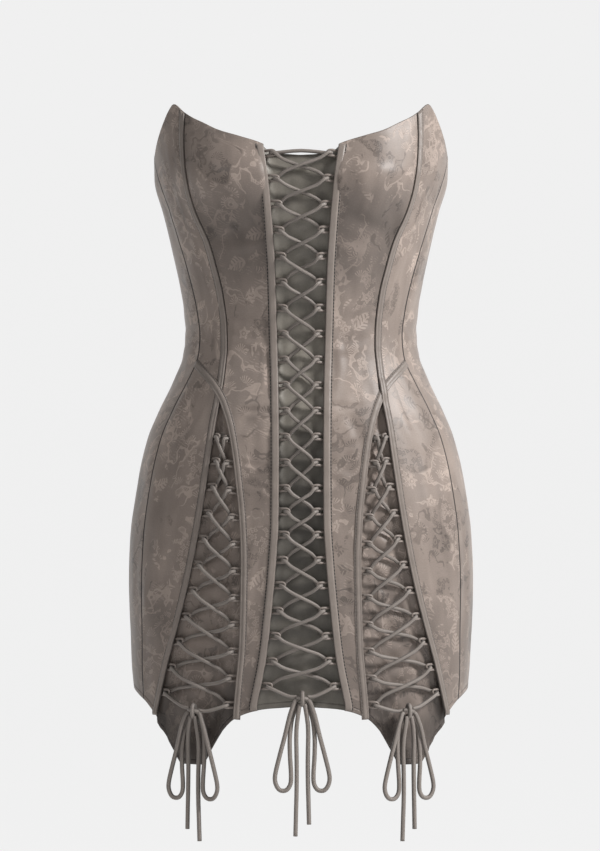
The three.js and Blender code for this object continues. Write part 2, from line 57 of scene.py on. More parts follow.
def addCamera():
    data = bpy.data.cameras.new("camera")
    data.sensor_fit = "VERTICAL"
    data.sensor_height = cameraPlace["sensor"]
    data.lens = cameraPlace["sensor"] * cameraPlace["distance"] / cameraPlace["frameHeight"]
    data.clip_end = 30
    camera = bpy.data.objects.new("camera", data)
    place = (cameraPlace["x"], -cameraPlace["distance"], cameraPlace["height"])
    camera.location = Vector(place) * millimetre
    camera.rotation_euler = (math.radians(90), 0, 0)
    scene.collection.objects.link(camera)
    scene.camera = camera


addCamera()


# The form that the dress is cut to
form = [  # z, half the width, front, back
    (250, 150, 80, 90),
    (215, 149, 90, 93),
    (177, 147, 100, 96),
    (153, 146.5, 106, 96),
    (119, 137.5, 106, 94),
    (77, 127.5, 97, 88),
    (49, 121.5, 90, 82),
    (21, 117, 85, 77),
    (0, 115.3, 84, 76),
    (-21, 117.5, 86, 79),
    (-49, 128, 92, 87),
    (-77, 141.5, 99, 98),
    (-105, 153, 104, 109),
    (-147, 163, 109, 122),
    (-203, 170.5, 112, 130),
    (-245, 172, 112, 128),
    (-329, 169, 108, 117),
    (-370, 165.5, 106, 112),
    (-430, 162, 104, 109),
]
fullness = {"front": 0.1, "back": 0.05}
cup = {"turn": 33, "z": 150, "depth": 15, "spread": 19, "above": 52, "below": 44}
seamGap = 0.08
crossingLevel = -69  # where the hip channel crosses the princess channel

# Seams and edges of the right half
lacingEdge = [  # z, x
    (185, 37), (150, 32), (100, 27.4), (60, 25), (0, 23.4), (-64, 21.8),
    (-124, 21.3), (-184, 21.6), (-223, 23.8), (-281, 29.1), (-318, 33.4), (-365, 42.5),
]
princessSeam = [  # z, x
    (215, 114.4), (192, 115.1), (167, 114), (140, 110), (118, 103.6), (87, 90), (62, 82.8),
    (38, 77), (2, 72.8), (-15, 72.5), (-36, 74.4), (-58, 77.2), (-69, 79.2), (-91, 83.5),
    (-124, 88.3), (-184, 97.5), (-238, 107.8), (-283, 118.8), (-324, 130.1), (-374, 141.7),
]
gussetEdge = [  # z, x
    (-69, 79.2), (-90, 72.8), (-119, 67.5), (-149, 63.9), (-184, 60.5),
    (-224, 59), (-274, 59.8), (-309, 60.9), (-344, 64), (-375, 66.7),
]
sideSeam = [  # z, degrees round from the centre front
    (190, 86.5), (174, 83.5), (145, 73), (116, 70.5), (67, 65.4), (21, 61.5), (-25, 59.4),
    (-63, 62.6), (-118, 65), (-227, 66.1), (-286, 66.8), (-360, 69.6),
]
backSeam = [(160, 130), (90, 126), (0, 120), (-110, 125), (-220, 129), (-360, 128)]  # z, degrees
neckline = [  # degrees, z
    (0, 174), (12, 177), (14.5, 182.5), (24, 190.5), (33, 197), (40.5, 205), (47, 211.5),
    (51, 216.5), (57.6, 225), (61.5, 219), (66, 209), (74, 193), (84, 177), (100, 165),
    (120, 153), (145, 147), (180, 145),
]
hemline = [  # degrees, z
    (0, -367), (15, -370.7), (23.5, -379), (28, -389), (32, -403.5), (36, -419.5), (38, -425.5),
    (47, -425.5), (49.5, -415.5), (54.5, -395.3), (60.5, -378), (70, -363.6), (86, -355),
    (110, -352), (180, -350),
]


# A smooth curve through the rows of a table that never overshoots them
def through(rows, column=1):
    table = np.array(sorted(rows), float)
    at, value = table[:, 0], table[:, column]
    slope = np.diff(value) / np.diff(at)
    product = slope[:-1] * slope[1:]
    total = np.where(product > 0, slope[:-1] + slope[1:], 1)
    middle = np.where(product > 0, 2 * product / total, 0)
    lean = np.concatenate([slope[:1], middle, slope[-1:]])

    def curve(place):
        place = np.clip(place, at[0], at[-1])
        i = np.clip(np.searchsorted(at, place, side="right") - 1, 0, len(at) - 2)
        width = at[i + 1] - at[i]
        t = (place - at[i]) / width
        rise = value[i + 1] - value[i]
        a = lean[i] * width
        b = lean[i + 1] * width
        return value[i] + t * (a + t * (3 * rise - 2 * a - b + t * (a + b - 2 * rise)))

    return curve


halfWidthAt = through(form, 1)
frontAt = through(form, 2)
backAt = through(form, 3)
necklineCurve = through(neckline)
hemlineCurve = through(hemline)


def necklineAt(turn):
    return necklineCurve(np.abs(turn))


def hemlineAt(turn):
    return hemlineCurve(np.abs(turn))


# The tongues' outer edges reach further round than the hem beside them, because they lie deeper
def tongueHemAt(turn):
    turn = np.abs(turn)
    return hemlineCurve(np.where(turn < 49, np.minimum(turn, 47), 47 + (turn - 49) / 1.3))


# A point of the cloth's outer face, turn degrees round the body from the centre front
def formPoint(turn, z):
    turn, z = np.broadcast_arrays(np.asarray(turn, float), np.asarray(z, float))
    sine = np.sin(np.radians(turn))
    cosine = np.cos(np.radians(turn))
    front = frontAt(z) * (1 + fullness["front"] * sine**2)
    back = backAt(z) * (1 + fullness["back"] * sine**2)
    depth = np.where(cosine > 0, front, back)
    around = (np.abs(turn) - cup["turn"]) / cup["spread"]
    along = (z - cup["z"]) / np.where(z > cup["z"], cup["above"], cup["below"])
    rounding = cup["depth"] * np.exp(-(around**2) - along**2)
    return np.stack([halfWidthAt(z) * sine, -depth * cosine - rounding, z], axis=-1)


# The way out of the cloth at a point
def normalAt(turn, z):
    across = formPoint(turn + 0.5, z) - formPoint(turn - 0.5, z)
    up = formPoint(turn, z + 0.5) - formPoint(turn, z - 0.5)
    normal = np.cross(across, up)
    return normal / np.linalg.norm(normal, axis=-1, keepdims=True)


# The same point moved out from the cloth
def skin(turn, z, out=0):
    turn = np.asarray(turn, float)
    z = np.asarray(z, float)
    return formPoint(turn, z) + normalAt(turn, z) * np.asarray(out, float)[..., None]


# How many degrees round the body a distance along the cloth takes
def degreesFor(distance, turn, z):
    step = formPoint(turn + 0.5, z) - formPoint(turn - 0.5, z)
    return distance / np.linalg.norm(step, axis=-1)


# An edge as degrees round the body at a height, from a table of its heights and places across
def edgeFrom(rows):
    x = through(rows)
    return lambda z: np.degrees(np.arcsin(np.clip(x(z) / halfWidthAt(z), -1, 1)))


lacing = edgeFrom(lacingEdge)
princess = edgeFrom(princessSeam)
gussetLine = edgeFrom(gussetEdge)
side = through(sideSeam)
back = through(backSeam)


# The centre front ends at the princess seam above the crossing, and at the hip inset's inner edge below it
def frontOuter(z):
    return np.where(np.asarray(z) > crossingLevel, princess(z), gussetLine(z))


def centreBack(z):
    return 180 + 0 * z


# The same edge moved a distance along the cloth, to the right
def shifted(edge, distance):
    return lambda z: edge(z) + degreesFor(distance, edge(z), z)


def mirrored(edge):
    return lambda z: -edge(z)


# The left and right edges of a piece, from its inner and outer edge. way is 1 on the right half and -1 on
# the left one
def edgesOf(inner, outer, way):
    return (inner, outer) if way > 0 else (mirrored(outer), mirrored(inner))


halves = ((1, "Right"), (-1, "Left"))


def smooth(value, low, high):
    t = np.clip((value - low) / (high - low), 0, 1)
    return t * t * (3 - 2 * t)


# A smooth line through points, with steps stretches between each two
def rounded(points, steps=4):
    points = np.asarray(points, float)
    ends = np.vstack([2 * points[0] - points[1], points, 2 * points[-1] - points[-2]])
    line = []
    for i in range(1, len(ends) - 2):
        p, a, b, n = ends[i - 1 : i + 3]
        bend = 2 * p - 5 * a + 4 * b - n
        twist = 3 * a - p - 3 * b + n
        for t in np.arange(steps) / steps:
            line.append(0.5 * (2 * a + (b - p) * t + bend * t**2 + twist * t**3))
    line.append(points[-1])
    return np.array(line)


# Uneven waves of about one wavelength along a line, the same on every run
def unevenWave(along, length, seed):
    chance = np.random.default_rng(seed)
    total = 0
    for stretch in (1, 0.71, 1.37, 0.53):
        phase = chance.uniform(0, fullTurn)
        total = total + np.sin(fullTurn * along / (length * stretch) + phase)
    return total / 2.4


# Soft hills and hollows over a surface, the same on every run
def softHills(a, b, size, seed):
    chance = np.random.default_rng(seed)
    total = 0
    for k in range(7):
        angle = chance.uniform(0, math.pi)
        length = size * chance.uniform(0.7, 1.5)
        phase = chance.uniform(0, fullTurn)
        run = a * math.cos(angle) + b * math.sin(angle)
        total = total + np.sin(fullTurn * run / length + phase)
    return total / 3


# Meshes
def newPiece(name, points, faces, layers):
    mesh = bpy.data.meshes.new(name)
    mesh.from_pydata((np.asarray(points).reshape(-1, 3) * millimetre).tolist(), [], faces)
    corner = np.empty(len(mesh.loops), dtype=np.int32)
    mesh.loops.foreach_get("vertex_index", corner)
    for layerName, values in layers.items():
        layer = mesh.uv_layers.new(name=layerName)
        layer.uv.foreach_set("vector", np.asarray(values, np.float32).reshape(-1, 2)[corner].ravel())
    mesh.polygons.foreach_set("use_smooth", [True] * len(mesh.polygons))
    mesh.update()
    piece = bpy.data.objects.new(name, mesh)
    scene.collection.objects.link(piece)
    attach(piece, "root")
    return piece


# The faces of a closed wall between an outer and an inner grid of points
def wallFaces(rows, columns):
    index = np.arange(2 * rows * columns).reshape(2, rows, columns)
    outer, inner = index

    def quads(a, b, c, d):
        return np.stack([a, b, c, d], axis=-1).reshape(-1, 4)

    parts = [
        quads(outer[:-1, :-1], outer[:-1, 1:], outer[1:, 1:], outer[1:, :-1]),
        quads(inner[:-1, :-1], inner[1:, :-1], inner[1:, 1:], inner[:-1, 1:]),
        quads(outer[:-1, 0], outer[1:, 0], inner[1:, 0], inner[:-1, 0]),
        quads(inner[:-1, -1], inner[1:, -1], outer[1:, -1], outer[:-1, -1]),
        quads(inner[0, :-1], inner[0, 1:], outer[0, 1:], outer[0, :-1]),
        quads(outer[-1, :-1], outer[-1, 1:], inner[-1, 1:], inner[-1, :-1]),
    ]
    return np.concatenate(parts).tolist()


# A closed wall between two grids of points, with the same maps on both of its faces
def wallPiece(name, outer, inner, **maps):
    layers = {key: np.stack([values, values]) for key, values in maps.items()}
    return newPiece(name, np.stack([outer, inner]), wallFaces(*outer.shape[:2]), layers)


# Cloth panels
cloth = {
    "spacing": 2.4,
    "thickness": 1.9,
    "edgeRadius": 0.8,
    "edgeSteps": (0, 0.12, 0.35, 0.8, 1.6),
    "measuredAt": -150,
    "leastWidth": 60,
    "hills": 0.55,
    "pucker": 0.22,
    "underBust": 3.6,
    "creases": 1.35,
}
underBust = [(104, 22, -1), (152, 24, 0.8)]  # z, half height, share of the depth: the hollow and the fullness


# Stops across a panel, close together where its edges are rounded: the share of the way between the two
# edges, the distance in from each and the distance to the nearer one
def stops(length):
    steps = cloth["edgeSteps"]
    far = 9
    inside = max(2, int(round((length - 2 * steps[-1]) / cloth["spacing"])))
    share = [0] * len(steps) + [k / inside for k in range(1, inside)] + [1] * len(steps)
    low = list(steps) + [steps[-1]] * (inside - 1) + [steps[-1]] * len(steps)
    high = [steps[-1]] * len(steps) + [steps[-1]] * (inside - 1) + list(reversed(steps))
    near = list(steps) + [far] * (inside - 1) + list(reversed(steps))
    return np.array(share), np.array(low), np.array(high), np.array(near)


# A fine grid of places on the cloth between two seams, with their distances from the seams, hem and top
class Grid:
    def __init__(self, left, right, high=None, hemAt=hemlineAt):
        z = cloth["measuredAt"]
        width = np.linalg.norm(formPoint(left(z), z) - formPoint(right(z), z)) * 1.1
        share, fromLeft, fromRight, nearSide = stops(max(width, cloth["leastWidth"]))

        def turnOf(z):
            a = left(z) + degreesFor(seamGap / 2 + fromLeft, left(z), z)
            b = right(z) - degreesFor(seamGap / 2 + fromRight, right(z), z)
            return a + (b - a) * share

        def meets(edgeAt, start):
            z = np.full(len(share), float(start))
            for _ in range(40):
                z = z + 0.6 * (edgeAt(turnOf(z)) - z)
            return z

        bottom = meets(hemAt, -370)
        top = meets(necklineAt, 180) if high is None else np.full(len(share), float(high))
        rise, fromLow, fromHigh, nearEnd = (row[:, None] for row in stops(float(np.mean(top - bottom))))
        self.z = (bottom + fromLow) * (1 - rise) + (top - fromHigh) * rise
        self.turn = turnOf(self.z)
        self.near = np.minimum(nearSide, nearEnd)
        self.fromHem = self.z - bottom
        self.fromTop = top - self.z
        point = formPoint(self.turn, self.z)
        step = np.linalg.norm(np.diff(point, axis=1), axis=-1)
        self.fromLeft = np.concatenate([np.zeros((len(step), 1)), np.cumsum(step, axis=1)], axis=1)
        self.fromRight = self.fromLeft[:, -1:] - self.fromLeft
        self.across = self.fromLeft - self.fromLeft[:, -1:] / 2
        self.x = point[..., 0]
        self.y = point[..., 1]


def clothPanel(name, node, grid, relief, material, shift, depth=0):
    radius = cloth["edgeRadius"]
    inside = np.clip(radius - grid.near, 0, radius)
    rounding = radius - np.sqrt(radius**2 - inside**2)
    level = relief - depth
    outer = skin(grid.turn, grid.z, level - rounding)
    inner = skin(grid.turn, grid.z, level - cloth["thickness"] + rounding)
    place = np.stack([grid.across + shift[0], grid.z + shift[1]], axis=-1)
    sides = np.stack([grid.fromLeft, grid.fromRight], axis=-1)
    ends = np.stack([grid.fromHem, grid.fromTop], axis=-1)
    piece = wallPiece(name, outer, inner, cloth=place, sides=sides, ends=ends)
    piece.data.materials.append(material)
    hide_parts(node)
    "inset_satin" if material == insetCloth else "satin"


# Creases, listed one by one, where the cloth is drawn towards the lacing, the waist and the seams
frontCreases = [  # x, z, degrees from level, half length, half width, depth
    (-42, -78, 2, 15, 3.2, 1.1),
    (-40, -97, 28, 16, 4.5, -0.7),
    (-42, -131, -2, 16, 2.6, 0.8),
    (-52, -84, 60, 13, 5, 0.7),
    (-39, -152, -14, 13, 3, 0.5),
    (-36, -40, 88, 24, 3.4, -0.5),
    (41, -74, -3, 15, 3.2, 0.9),
    (43, -112, 8, 17, 3, 0.8),
    (40, -142, -24, 14, 4, -0.6),
    (52, -92, 116, 14, 5, 0.6),
    (38, -30, 90, 26, 3.6, -0.5),
    (-64, 96, 24, 22, 7, 0.9),
    (-50, 82, 12, 20, 5, -0.7),
    (-88, 106, 64, 20, 6, 0.7),
    (70, 99, -20, 24, 7, 0.9),
    (52, 78, -8, 20, 5, -0.7),
    (92, 112, -66, 20, 6, 0.7),
    (-58, 12, 4, 20, 6, 0.6),
    (-46, -14, -6, 18, 4, -0.5),
    (60, 10, -5, 20, 6, 0.6),
    (46, -18, 7, 18, 4, -0.5),
    (-112, -90, 58, 22, 5, 0.8),
    (-120, -150, 82, 40, 6, -0.7),
    (-132, -230, 86, 46, 7, 0.6),
    (112, -92, -58, 22, 5, 0.8),
    (124, -160, -80, 40, 6, -0.7),
    (134, -235, -87, 46, 7, 0.6),
    (-42, -240, 84, 30, 4, 0.4),
    (44, -250, -86, 30, 4, 0.4),
    (-118, 60, 72, 30, 5, 0.6),
    (120, 58, -72, 30, 5, 0.6),
    (-126, 140, 84, 24, 4, 0.5),
    (128, 138, -82, 24, 4, 0.5),
]
sideCreases = [  # y, z, degrees from level, half length, half width, depth
    (-10, 4, 6, 34, 5, 0.9),
    (14, -16, -8, 36, 4.5, 0.8),
    (30, 20, 5, 30, 5, -0.7),
    (-22, -36, 14, 30, 5, 0.7),
    (44, -52, -16, 32, 6, -0.7),
    (10, 60, 78, 44, 7, 0.7),
    (-30, 110, 86, 36, 6, 0.6),
    (36, 118, -84, 34, 6, -0.6),
    (0, -160, 84, 60, 8, 0.7),
    (52, -230, -86, 54, 8, -0.6),
    (-40, -250, 87, 52, 7, 0.6),
]
backCreases = [  # x, z, degrees from level, half length, half width, depth
    (-30, 6, 5, 30, 5, 1.0),
    (34, -8, -6, 32, 5, 0.9),
    (-42, -26, -12, 30, 5, -0.7),
    (40, 26, 9, 28, 5, -0.7),
    (-20, -48, 16, 28, 6, 0.8),
    (26, -60, -18, 30, 6, 0.7),
    (-56, 70, 70, 34, 6, 0.6),
    (58, 80, -72, 34, 6, 0.6),
    (-50, -200, 82, 60, 9, 0.6),
    (54, -215, -84, 58, 9, -0.6),
]


# The relief of a table of creases, each a trough with a ridge on both sides
def creased(a, z, rows):
    total = np.zeros_like(z)
    for centre, height, angle, half, width, depth in rows:
        cosine = math.cos(math.radians(angle))
        sine = math.sin(math.radians(angle))
        along = (a - centre) * cosine + (z - height) * sine
        bow = 0.12 * half * (along / half) ** 2
        across = (z - height) * cosine - (a - centre) * sine - bow
        trough = np.exp(-((across / width) ** 2))
        ridges = np.exp(-(((np.abs(across) - 1.7 * width) / width) ** 2))
        total -= cloth["creases"] * depth * (trough - 0.45 * ridges) * np.exp(-((along / half) ** 2))
    return total


# How far the cloth stands out or in at each place: soft hills, the bust, the creases and gathers at the seams
def clothRelief(grid, seed):
    around = np.abs(grid.turn)
    total = cloth["hills"] * softHills(grid.across, grid.z * 0.8, 62, seed)
    total = total + 0.3 * cloth["hills"] * softHills(grid.across * 1.6, grid.z, 27, seed + 1)
    under = sum(share * np.exp(-(((grid.z - z) / half) ** 2)) for z, half, share in underBust)
    total = total + cloth["underBust"] * under * smooth(around, 64, 34)
    total = total + np.where(around < 80, creased(grid.x, grid.z, frontCreases), 0)
    total = total + np.where(around > 112, creased(grid.x, grid.z, backCreases), 0)
    flank = smooth(np.abs(around - 95), 42, 26)
    outline = 1 - 0.7 * np.exp(-(((around - 88) / 14) ** 2))
    total = (total + flank * creased(grid.y, grid.z, sideCreases)) * outline
    for k, distance in enumerate((grid.fromLeft, grid.fromRight)):
        gather = np.exp(-((distance / 9) ** 2)) * smooth(distance, 0, 2.5)
        total = total + cloth["pucker"] * gather * unevenWave(grid.z + 0.4 * distance, 11, seed + 5 + k)
    nearest = np.minimum.reduce([grid.fromLeft, grid.fromRight, grid.fromHem, grid.fromTop])
    return total * smooth(nearest, 0, 7)


# Shader maths: a wire is a socket that can be added to, multiplied and so on
class Wire:
    def __init__(self, shader, socket):
        self.shader = shader
        self.socket = socket

    def __add__(self, other):
        return self.shader.math("ADD", self, other)

    def __sub__(self, other):
        return self.shader.math("SUBTRACT", self, other)

    def __mul__(self, other):
        return self.shader.math("MULTIPLY", self, other)

    def __radd__(self, other):
        return self.shader.math("ADD", other, self)

    def __rsub__(self, other):
        return self.shader.math("SUBTRACT", other, self)

    def __rmul__(self, other):
        return self.shader.math("MULTIPLY", other, self)

    def sine(self):
        return self.shader.math("SINE", self)

    def size(self):
        return self.shader.math("ABSOLUTE", self)

    def fraction(self):
        return self.shader.math("FRACT", self)

    # 0 below low and 1 above high, or the other way round where low is the larger
    def between(self, low, high):
        kind = "ShaderNodeMapRange"
        settings = {"interpolation_type": "SMOOTHSTEP"}
        node = self.shader.node(kind, settings, {"Value": self, "From Min": low, "From Max": high})
        return Wire(self.shader, node.outputs["Result"])

    # 1 from full to end, fading out to 0 at start and gone
    def within(self, start, full, end, gone):
        return self.between(start, full) * self.between(gone, end)


class Shader:
    def __init__(self, name):
        self.material = bpy.data.materials.new(name)
        self.material.use_nodes = True
        self.tree = self.material.node_tree
        self.tree.nodes.clear()

    def node(self, kind, settings=None, values=None):
        node = self.tree.nodes.new(kind)
        for key, value in (settings or {}).items():
            setattr(node, key, value)
        for key, value in (values or {}).items():
            if isinstance(value, Wire):
                self.tree.links.new(value.socket, node.inputs[key])
            else:
                node.inputs[key].default_value = value
        return node

    def math(self, operation, *inputs):
        values = dict(enumerate(inputs))
        node = self.node("ShaderNodeMath", {"operation": operation}, values)
        return Wire(self, node.outputs[0])

    def vector(self, operation, *inputs, scale=None):
        values = dict(enumerate(inputs))
        if scale is not None:
            values["Scale"] = scale
        node = self.node("ShaderNodeVectorMath", {"operation": operation}, values)
        return Wire(self, node.outputs["Value" if operation == "LENGTH" else "Vector"])

    def map(self, name):
        node = self.node("ShaderNodeUVMap", {"uv_map": name})
        return Wire(self, node.outputs["UV"])

    def parts(self, vector):
        node = self.node("ShaderNodeSeparateXYZ", None, {0: vector})
        return [Wire(self, output) for output in node.outputs]

    def combine(self, x, y, z=0):
        node = self.node("ShaderNodeCombineXYZ", None, {0: x, 1: y, 2: z})
        return Wire(self, node.outputs[0])

    def noise(self, vector, size, detail=2.0, rough=0.5):
        values = {"Vector": vector, "Scale": 1 / size, "Detail": detail, "Roughness": rough}
        node = self.node("ShaderNodeTexNoise", {"noise_dimensions": "3D"}, values)
        return Wire(self, node.outputs["Fac"])

    def cells(self, vector, size):
        values = {"Vector": self.vector("SCALE", vector, scale=1 / size), "Scale": 1.0}
        return self.node("ShaderNodeTexVoronoi", {"voronoi_dimensions": "2D"}, values)

    def blend(self, share, first, second):
        node = self.node("ShaderNodeMix", {"data_type": "RGBA"}, {0: share, 6: first, 7: second})
        return Wire(self, node.outputs[2])

    def scaled(self, colour, factor):
        node = self.node("ShaderNodeVectorMath", {"operation": "SCALE"}, {0: colour[:3], "Scale": factor})
        return Wire(self, node.outputs["Vector"])

    def bump(self, height, distance, strength=1.0, after=None):
        values = {"Height": height, "Distance": distance, "Strength": strength}
        if after:
            values["Normal"] = after
        node = self.node("ShaderNodeBump", None, values)
        return Wire(self, node.outputs["Normal"])

    def finish(self, values):
        surface = self.node("ShaderNodeBsdfPrincipled", None, values)
        output = self.node("ShaderNodeOutputMaterial")
        self.tree.links.new(surface.outputs[0], output.inputs["Surface"])
        return self.material


# A made-up brocade of needle fans, leaf sprays, rosettes, blossoms and winding twigs
brocade = {
    "fanSize": 17,
    "needles": 17,
    "sprigSize": 30,
    "leaves": 7,
    "rosetteSize": 6.4,
    "blossomSize": 20,
    "twigSize": 36,
    "patchSize": 50,
    "hatchPitch": 2.7,
}


# Where a place lies in the motif it belongs to, as x, y, distance, angle and three chances
def motifAt(s, place, size):
    cells = s.cells(place, size)
    middle = Wire(s, cells.outputs["Position"])
    inside = s.vector("SUBTRACT", s.vector("SCALE", place, scale=1 / size), middle)
    x, y, _ = s.parts(inside)
    return x, y, s.vector("LENGTH", inside), s.math("ARCTAN2", y, x), s.parts(Wire(s, cells.outputs["Color"]))


# Fans of needles that open upwards
def needleFans(s, place):
    _, _, reach, angle, chance = motifAt(s, place, brocade["fanSize"])
    ray = (angle * brocade["needles"] + chance[0] * 9).sine()
    opening = (angle + (chance[1] - 0.5) * 1.8).sine().between(-0.15, 0.1)
    rim = reach - ray * 0.02
    return rim.between(0.5, 0.44) * reach.between(0.03, 0.08) * opening * ray.between(-0.1, 0.45)


# Slanting leaves on both sides of a bowed stem
def leafSprays(s, place):
    x, y, _, _, chance = motifAt(s, place, brocade["sprigSize"])
    turn = chance[0] * 6.3
    along = x * (turn + math.pi / 2).sine() + y * turn.sine()
    across = y * (turn + math.pi / 2).sine() - x * turn.sine() - along * along * 0.5
    leaf = (along * brocade["leaves"] - across.size() * 5 + chance[1]).fraction()
    width = 0.19 - along * along * 1.1
    leaves = (leaf - 0.5).size().between(0.36, 0.26) * (across.size() - width).between(0.03, -0.01)
    stem = across.size().between(0.035, 0.015) * along.size().between(0.46, 0.42)
    return s.math("MAXIMUM", leaves, stem) * chance[2].between(0.3, 0.32)


# Small open flower heads, close together
def rosetteHeads(s, place):
    _, _, reach, angle, chance = motifAt(s, place, brocade["rosetteSize"])
    petals = (angle * 4 + chance[0] * 6).sine() * 0.1
    heads = (reach + petals - 0.3).size().between(0.14, 0.07)
    return s.math("MAXIMUM", heads, reach.between(0.12, 0.07))


# Five petals with a dark ring round a light heart
def blossomHeads(s, place):
    _, _, reach, angle, chance = motifAt(s, place, brocade["blossomSize"])
    petals = (angle * 5 + chance[1] * 6).sine() * 0.07 + 0.27
    flower = (reach - petals).between(0.02, -0.02)
    veins = (angle * 15 + chance[1] * 18).sine().between(0.5, 0.9) * reach.between(0.1, 0.16)
    ring = (reach - 0.1).size().between(0.04, 0.02)
    return flower * (1 - s.math("MAXIMUM", veins, ring) * 0.8) * chance[0].between(0.55, 0.57)


# How light the woven design is at a place, and soft clouds of painted sheen and shade over the satin
def brocadeTone(s, place):
    def moved(*step):
        return s.vector("ADD", place, step)

    drift = s.combine(s.noise(place, 13, 2) * 6, s.noise(moved(71, 13, 0), 13, 2) * 6)
    bent = s.vector("ADD", place, drift)
    patch = s.noise(moved(0, 0, 40), brocade["patchSize"], 1.5)
    other = s.noise(moved(0, 0, 190), brocade["patchSize"], 1.5)
    fans = needleFans(s, bent) * patch.between(0.55, 0.57)
    sprays = leafSprays(s, s.vector("ADD", bent, (9, 4, 0))) * patch.between(0.51, 0.49)
    sprays = sprays * other.between(0.47, 0.49)
    rosettes = rosetteHeads(s, bent)
    crown = other.between(0.43, 0.41) * patch.between(0.56, 0.53)
    flowers = blossomHeads(s, s.vector("ADD", bent, (3, 11, 0))) * other.between(0.5, 0.47)

    # Twigs swell and fade, with a thinner line beside them
    field = s.noise(moved(0, 0, 77), brocade["twigSize"], 2.5, 0.55)
    level = ((field * 5).fraction() - 0.5).size()
    swell = s.noise(moved(0, 0, 120), 16, 1)
    swollen = swell.between(0.5, 0.75) * 0.16 + 0.045
    twigs = (level - swollen).between(0.03, 0)
    twigs = twigs * s.math("MAXIMUM", patch.between(0.49, 0.52), other.between(0.56, 0.6))
    knots = (level - swollen * 0.45).between(0.03, 0) * swell.between(0.6, 0.7)
    twigs = twigs * (1 - knots * 0.7)

    x, y, _ = s.parts(bent)
    stroke = ((x * 0.4 + y * 0.92) * (fullTurn / brocade["hatchPitch"])).sine().between(0.1, 0.6)
    hatch = stroke * level.within(0.1, 0.16, 0.24, 0.3) * other.between(0.56, 0.6)

    tone = s.math("MAXIMUM", s.math("MAXIMUM", fans, sprays), s.math("MAXIMUM", flowers, twigs * 0.9))
    tone = s.math("MAXIMUM", tone, rosettes * crown * 0.85)
    dark = s.noise(moved(0, 0, 400), 60, 1).between(0.53, 0.57)
    tone = tone * (1 - dark * 1.7) + hatch * 0.5 - crown * 0.2
    # Soft clouds of painted sheen and shade, scattered at random
    shade = s.noise(s.combine(x, y * 0.6, 250), 34, 1.5) - 0.5
    return tone, shade


# Satin with the brocade woven in. Its stitched hem, the painted shadow along its stitched seams and its
# painted light and shade by height come from the distances stored in its maps
satin = {
    "colour": (0.312, 0.252, 0.217, 1),
    "roughness": 0.46,
    "contrast": 0.52,
    "sheenStreaks": 0.35,
    "sheen": 0.9,
    "grain": 0.34,
    "weavePitch": (0.62, 0.9),
    "stitchPitch": 3.1,
    "hemStitch": 5.2,
    # Bands of height above the hem for the painted sheen over the waist and the painted shade under the bust
    "waist": (200, 270, 330, 400),
    "underBustShade": (395, 440, 480, 530),
}
plainSatin = {"colour": (0.175, 0.158, 0.134, 1)}


# Painted light and shade by height above the hem. Both satins get a painted sheen over the waist and belly,
# and the brocade gets painted shade under the bust and towards the hem. The plain satin lies in the shade of
# the lacing: its painted shade is lifted in its upper part and near the hem
def paintedLightByHeight(fromHem, woven, under):
    waist = fromHem.within(*satin["waist"])
    if woven:
        underBustShade = fromHem.within(*satin["underBustShade"])
        # Painted sheen over the waist, painted shade under the bust as deep as under says, and painted shade
        # over the last 175 mm towards the hem
        return (1 + waist * 0.12) * (1 - underBustShade * under) * (1 - fromHem.between(175, 30) * 0.24)
    # Painted shade of the lacing over the middle of the plain satin, lighter in its upper part and near the
    # hem, with a painted sheen over the waist
    lacedPartShading = 0.72 + fromHem.between(250, 310) * 0.68 + fromHem.between(120, 60) * 0.28
    return lacedPartShading * (1 + waist * 0.25)


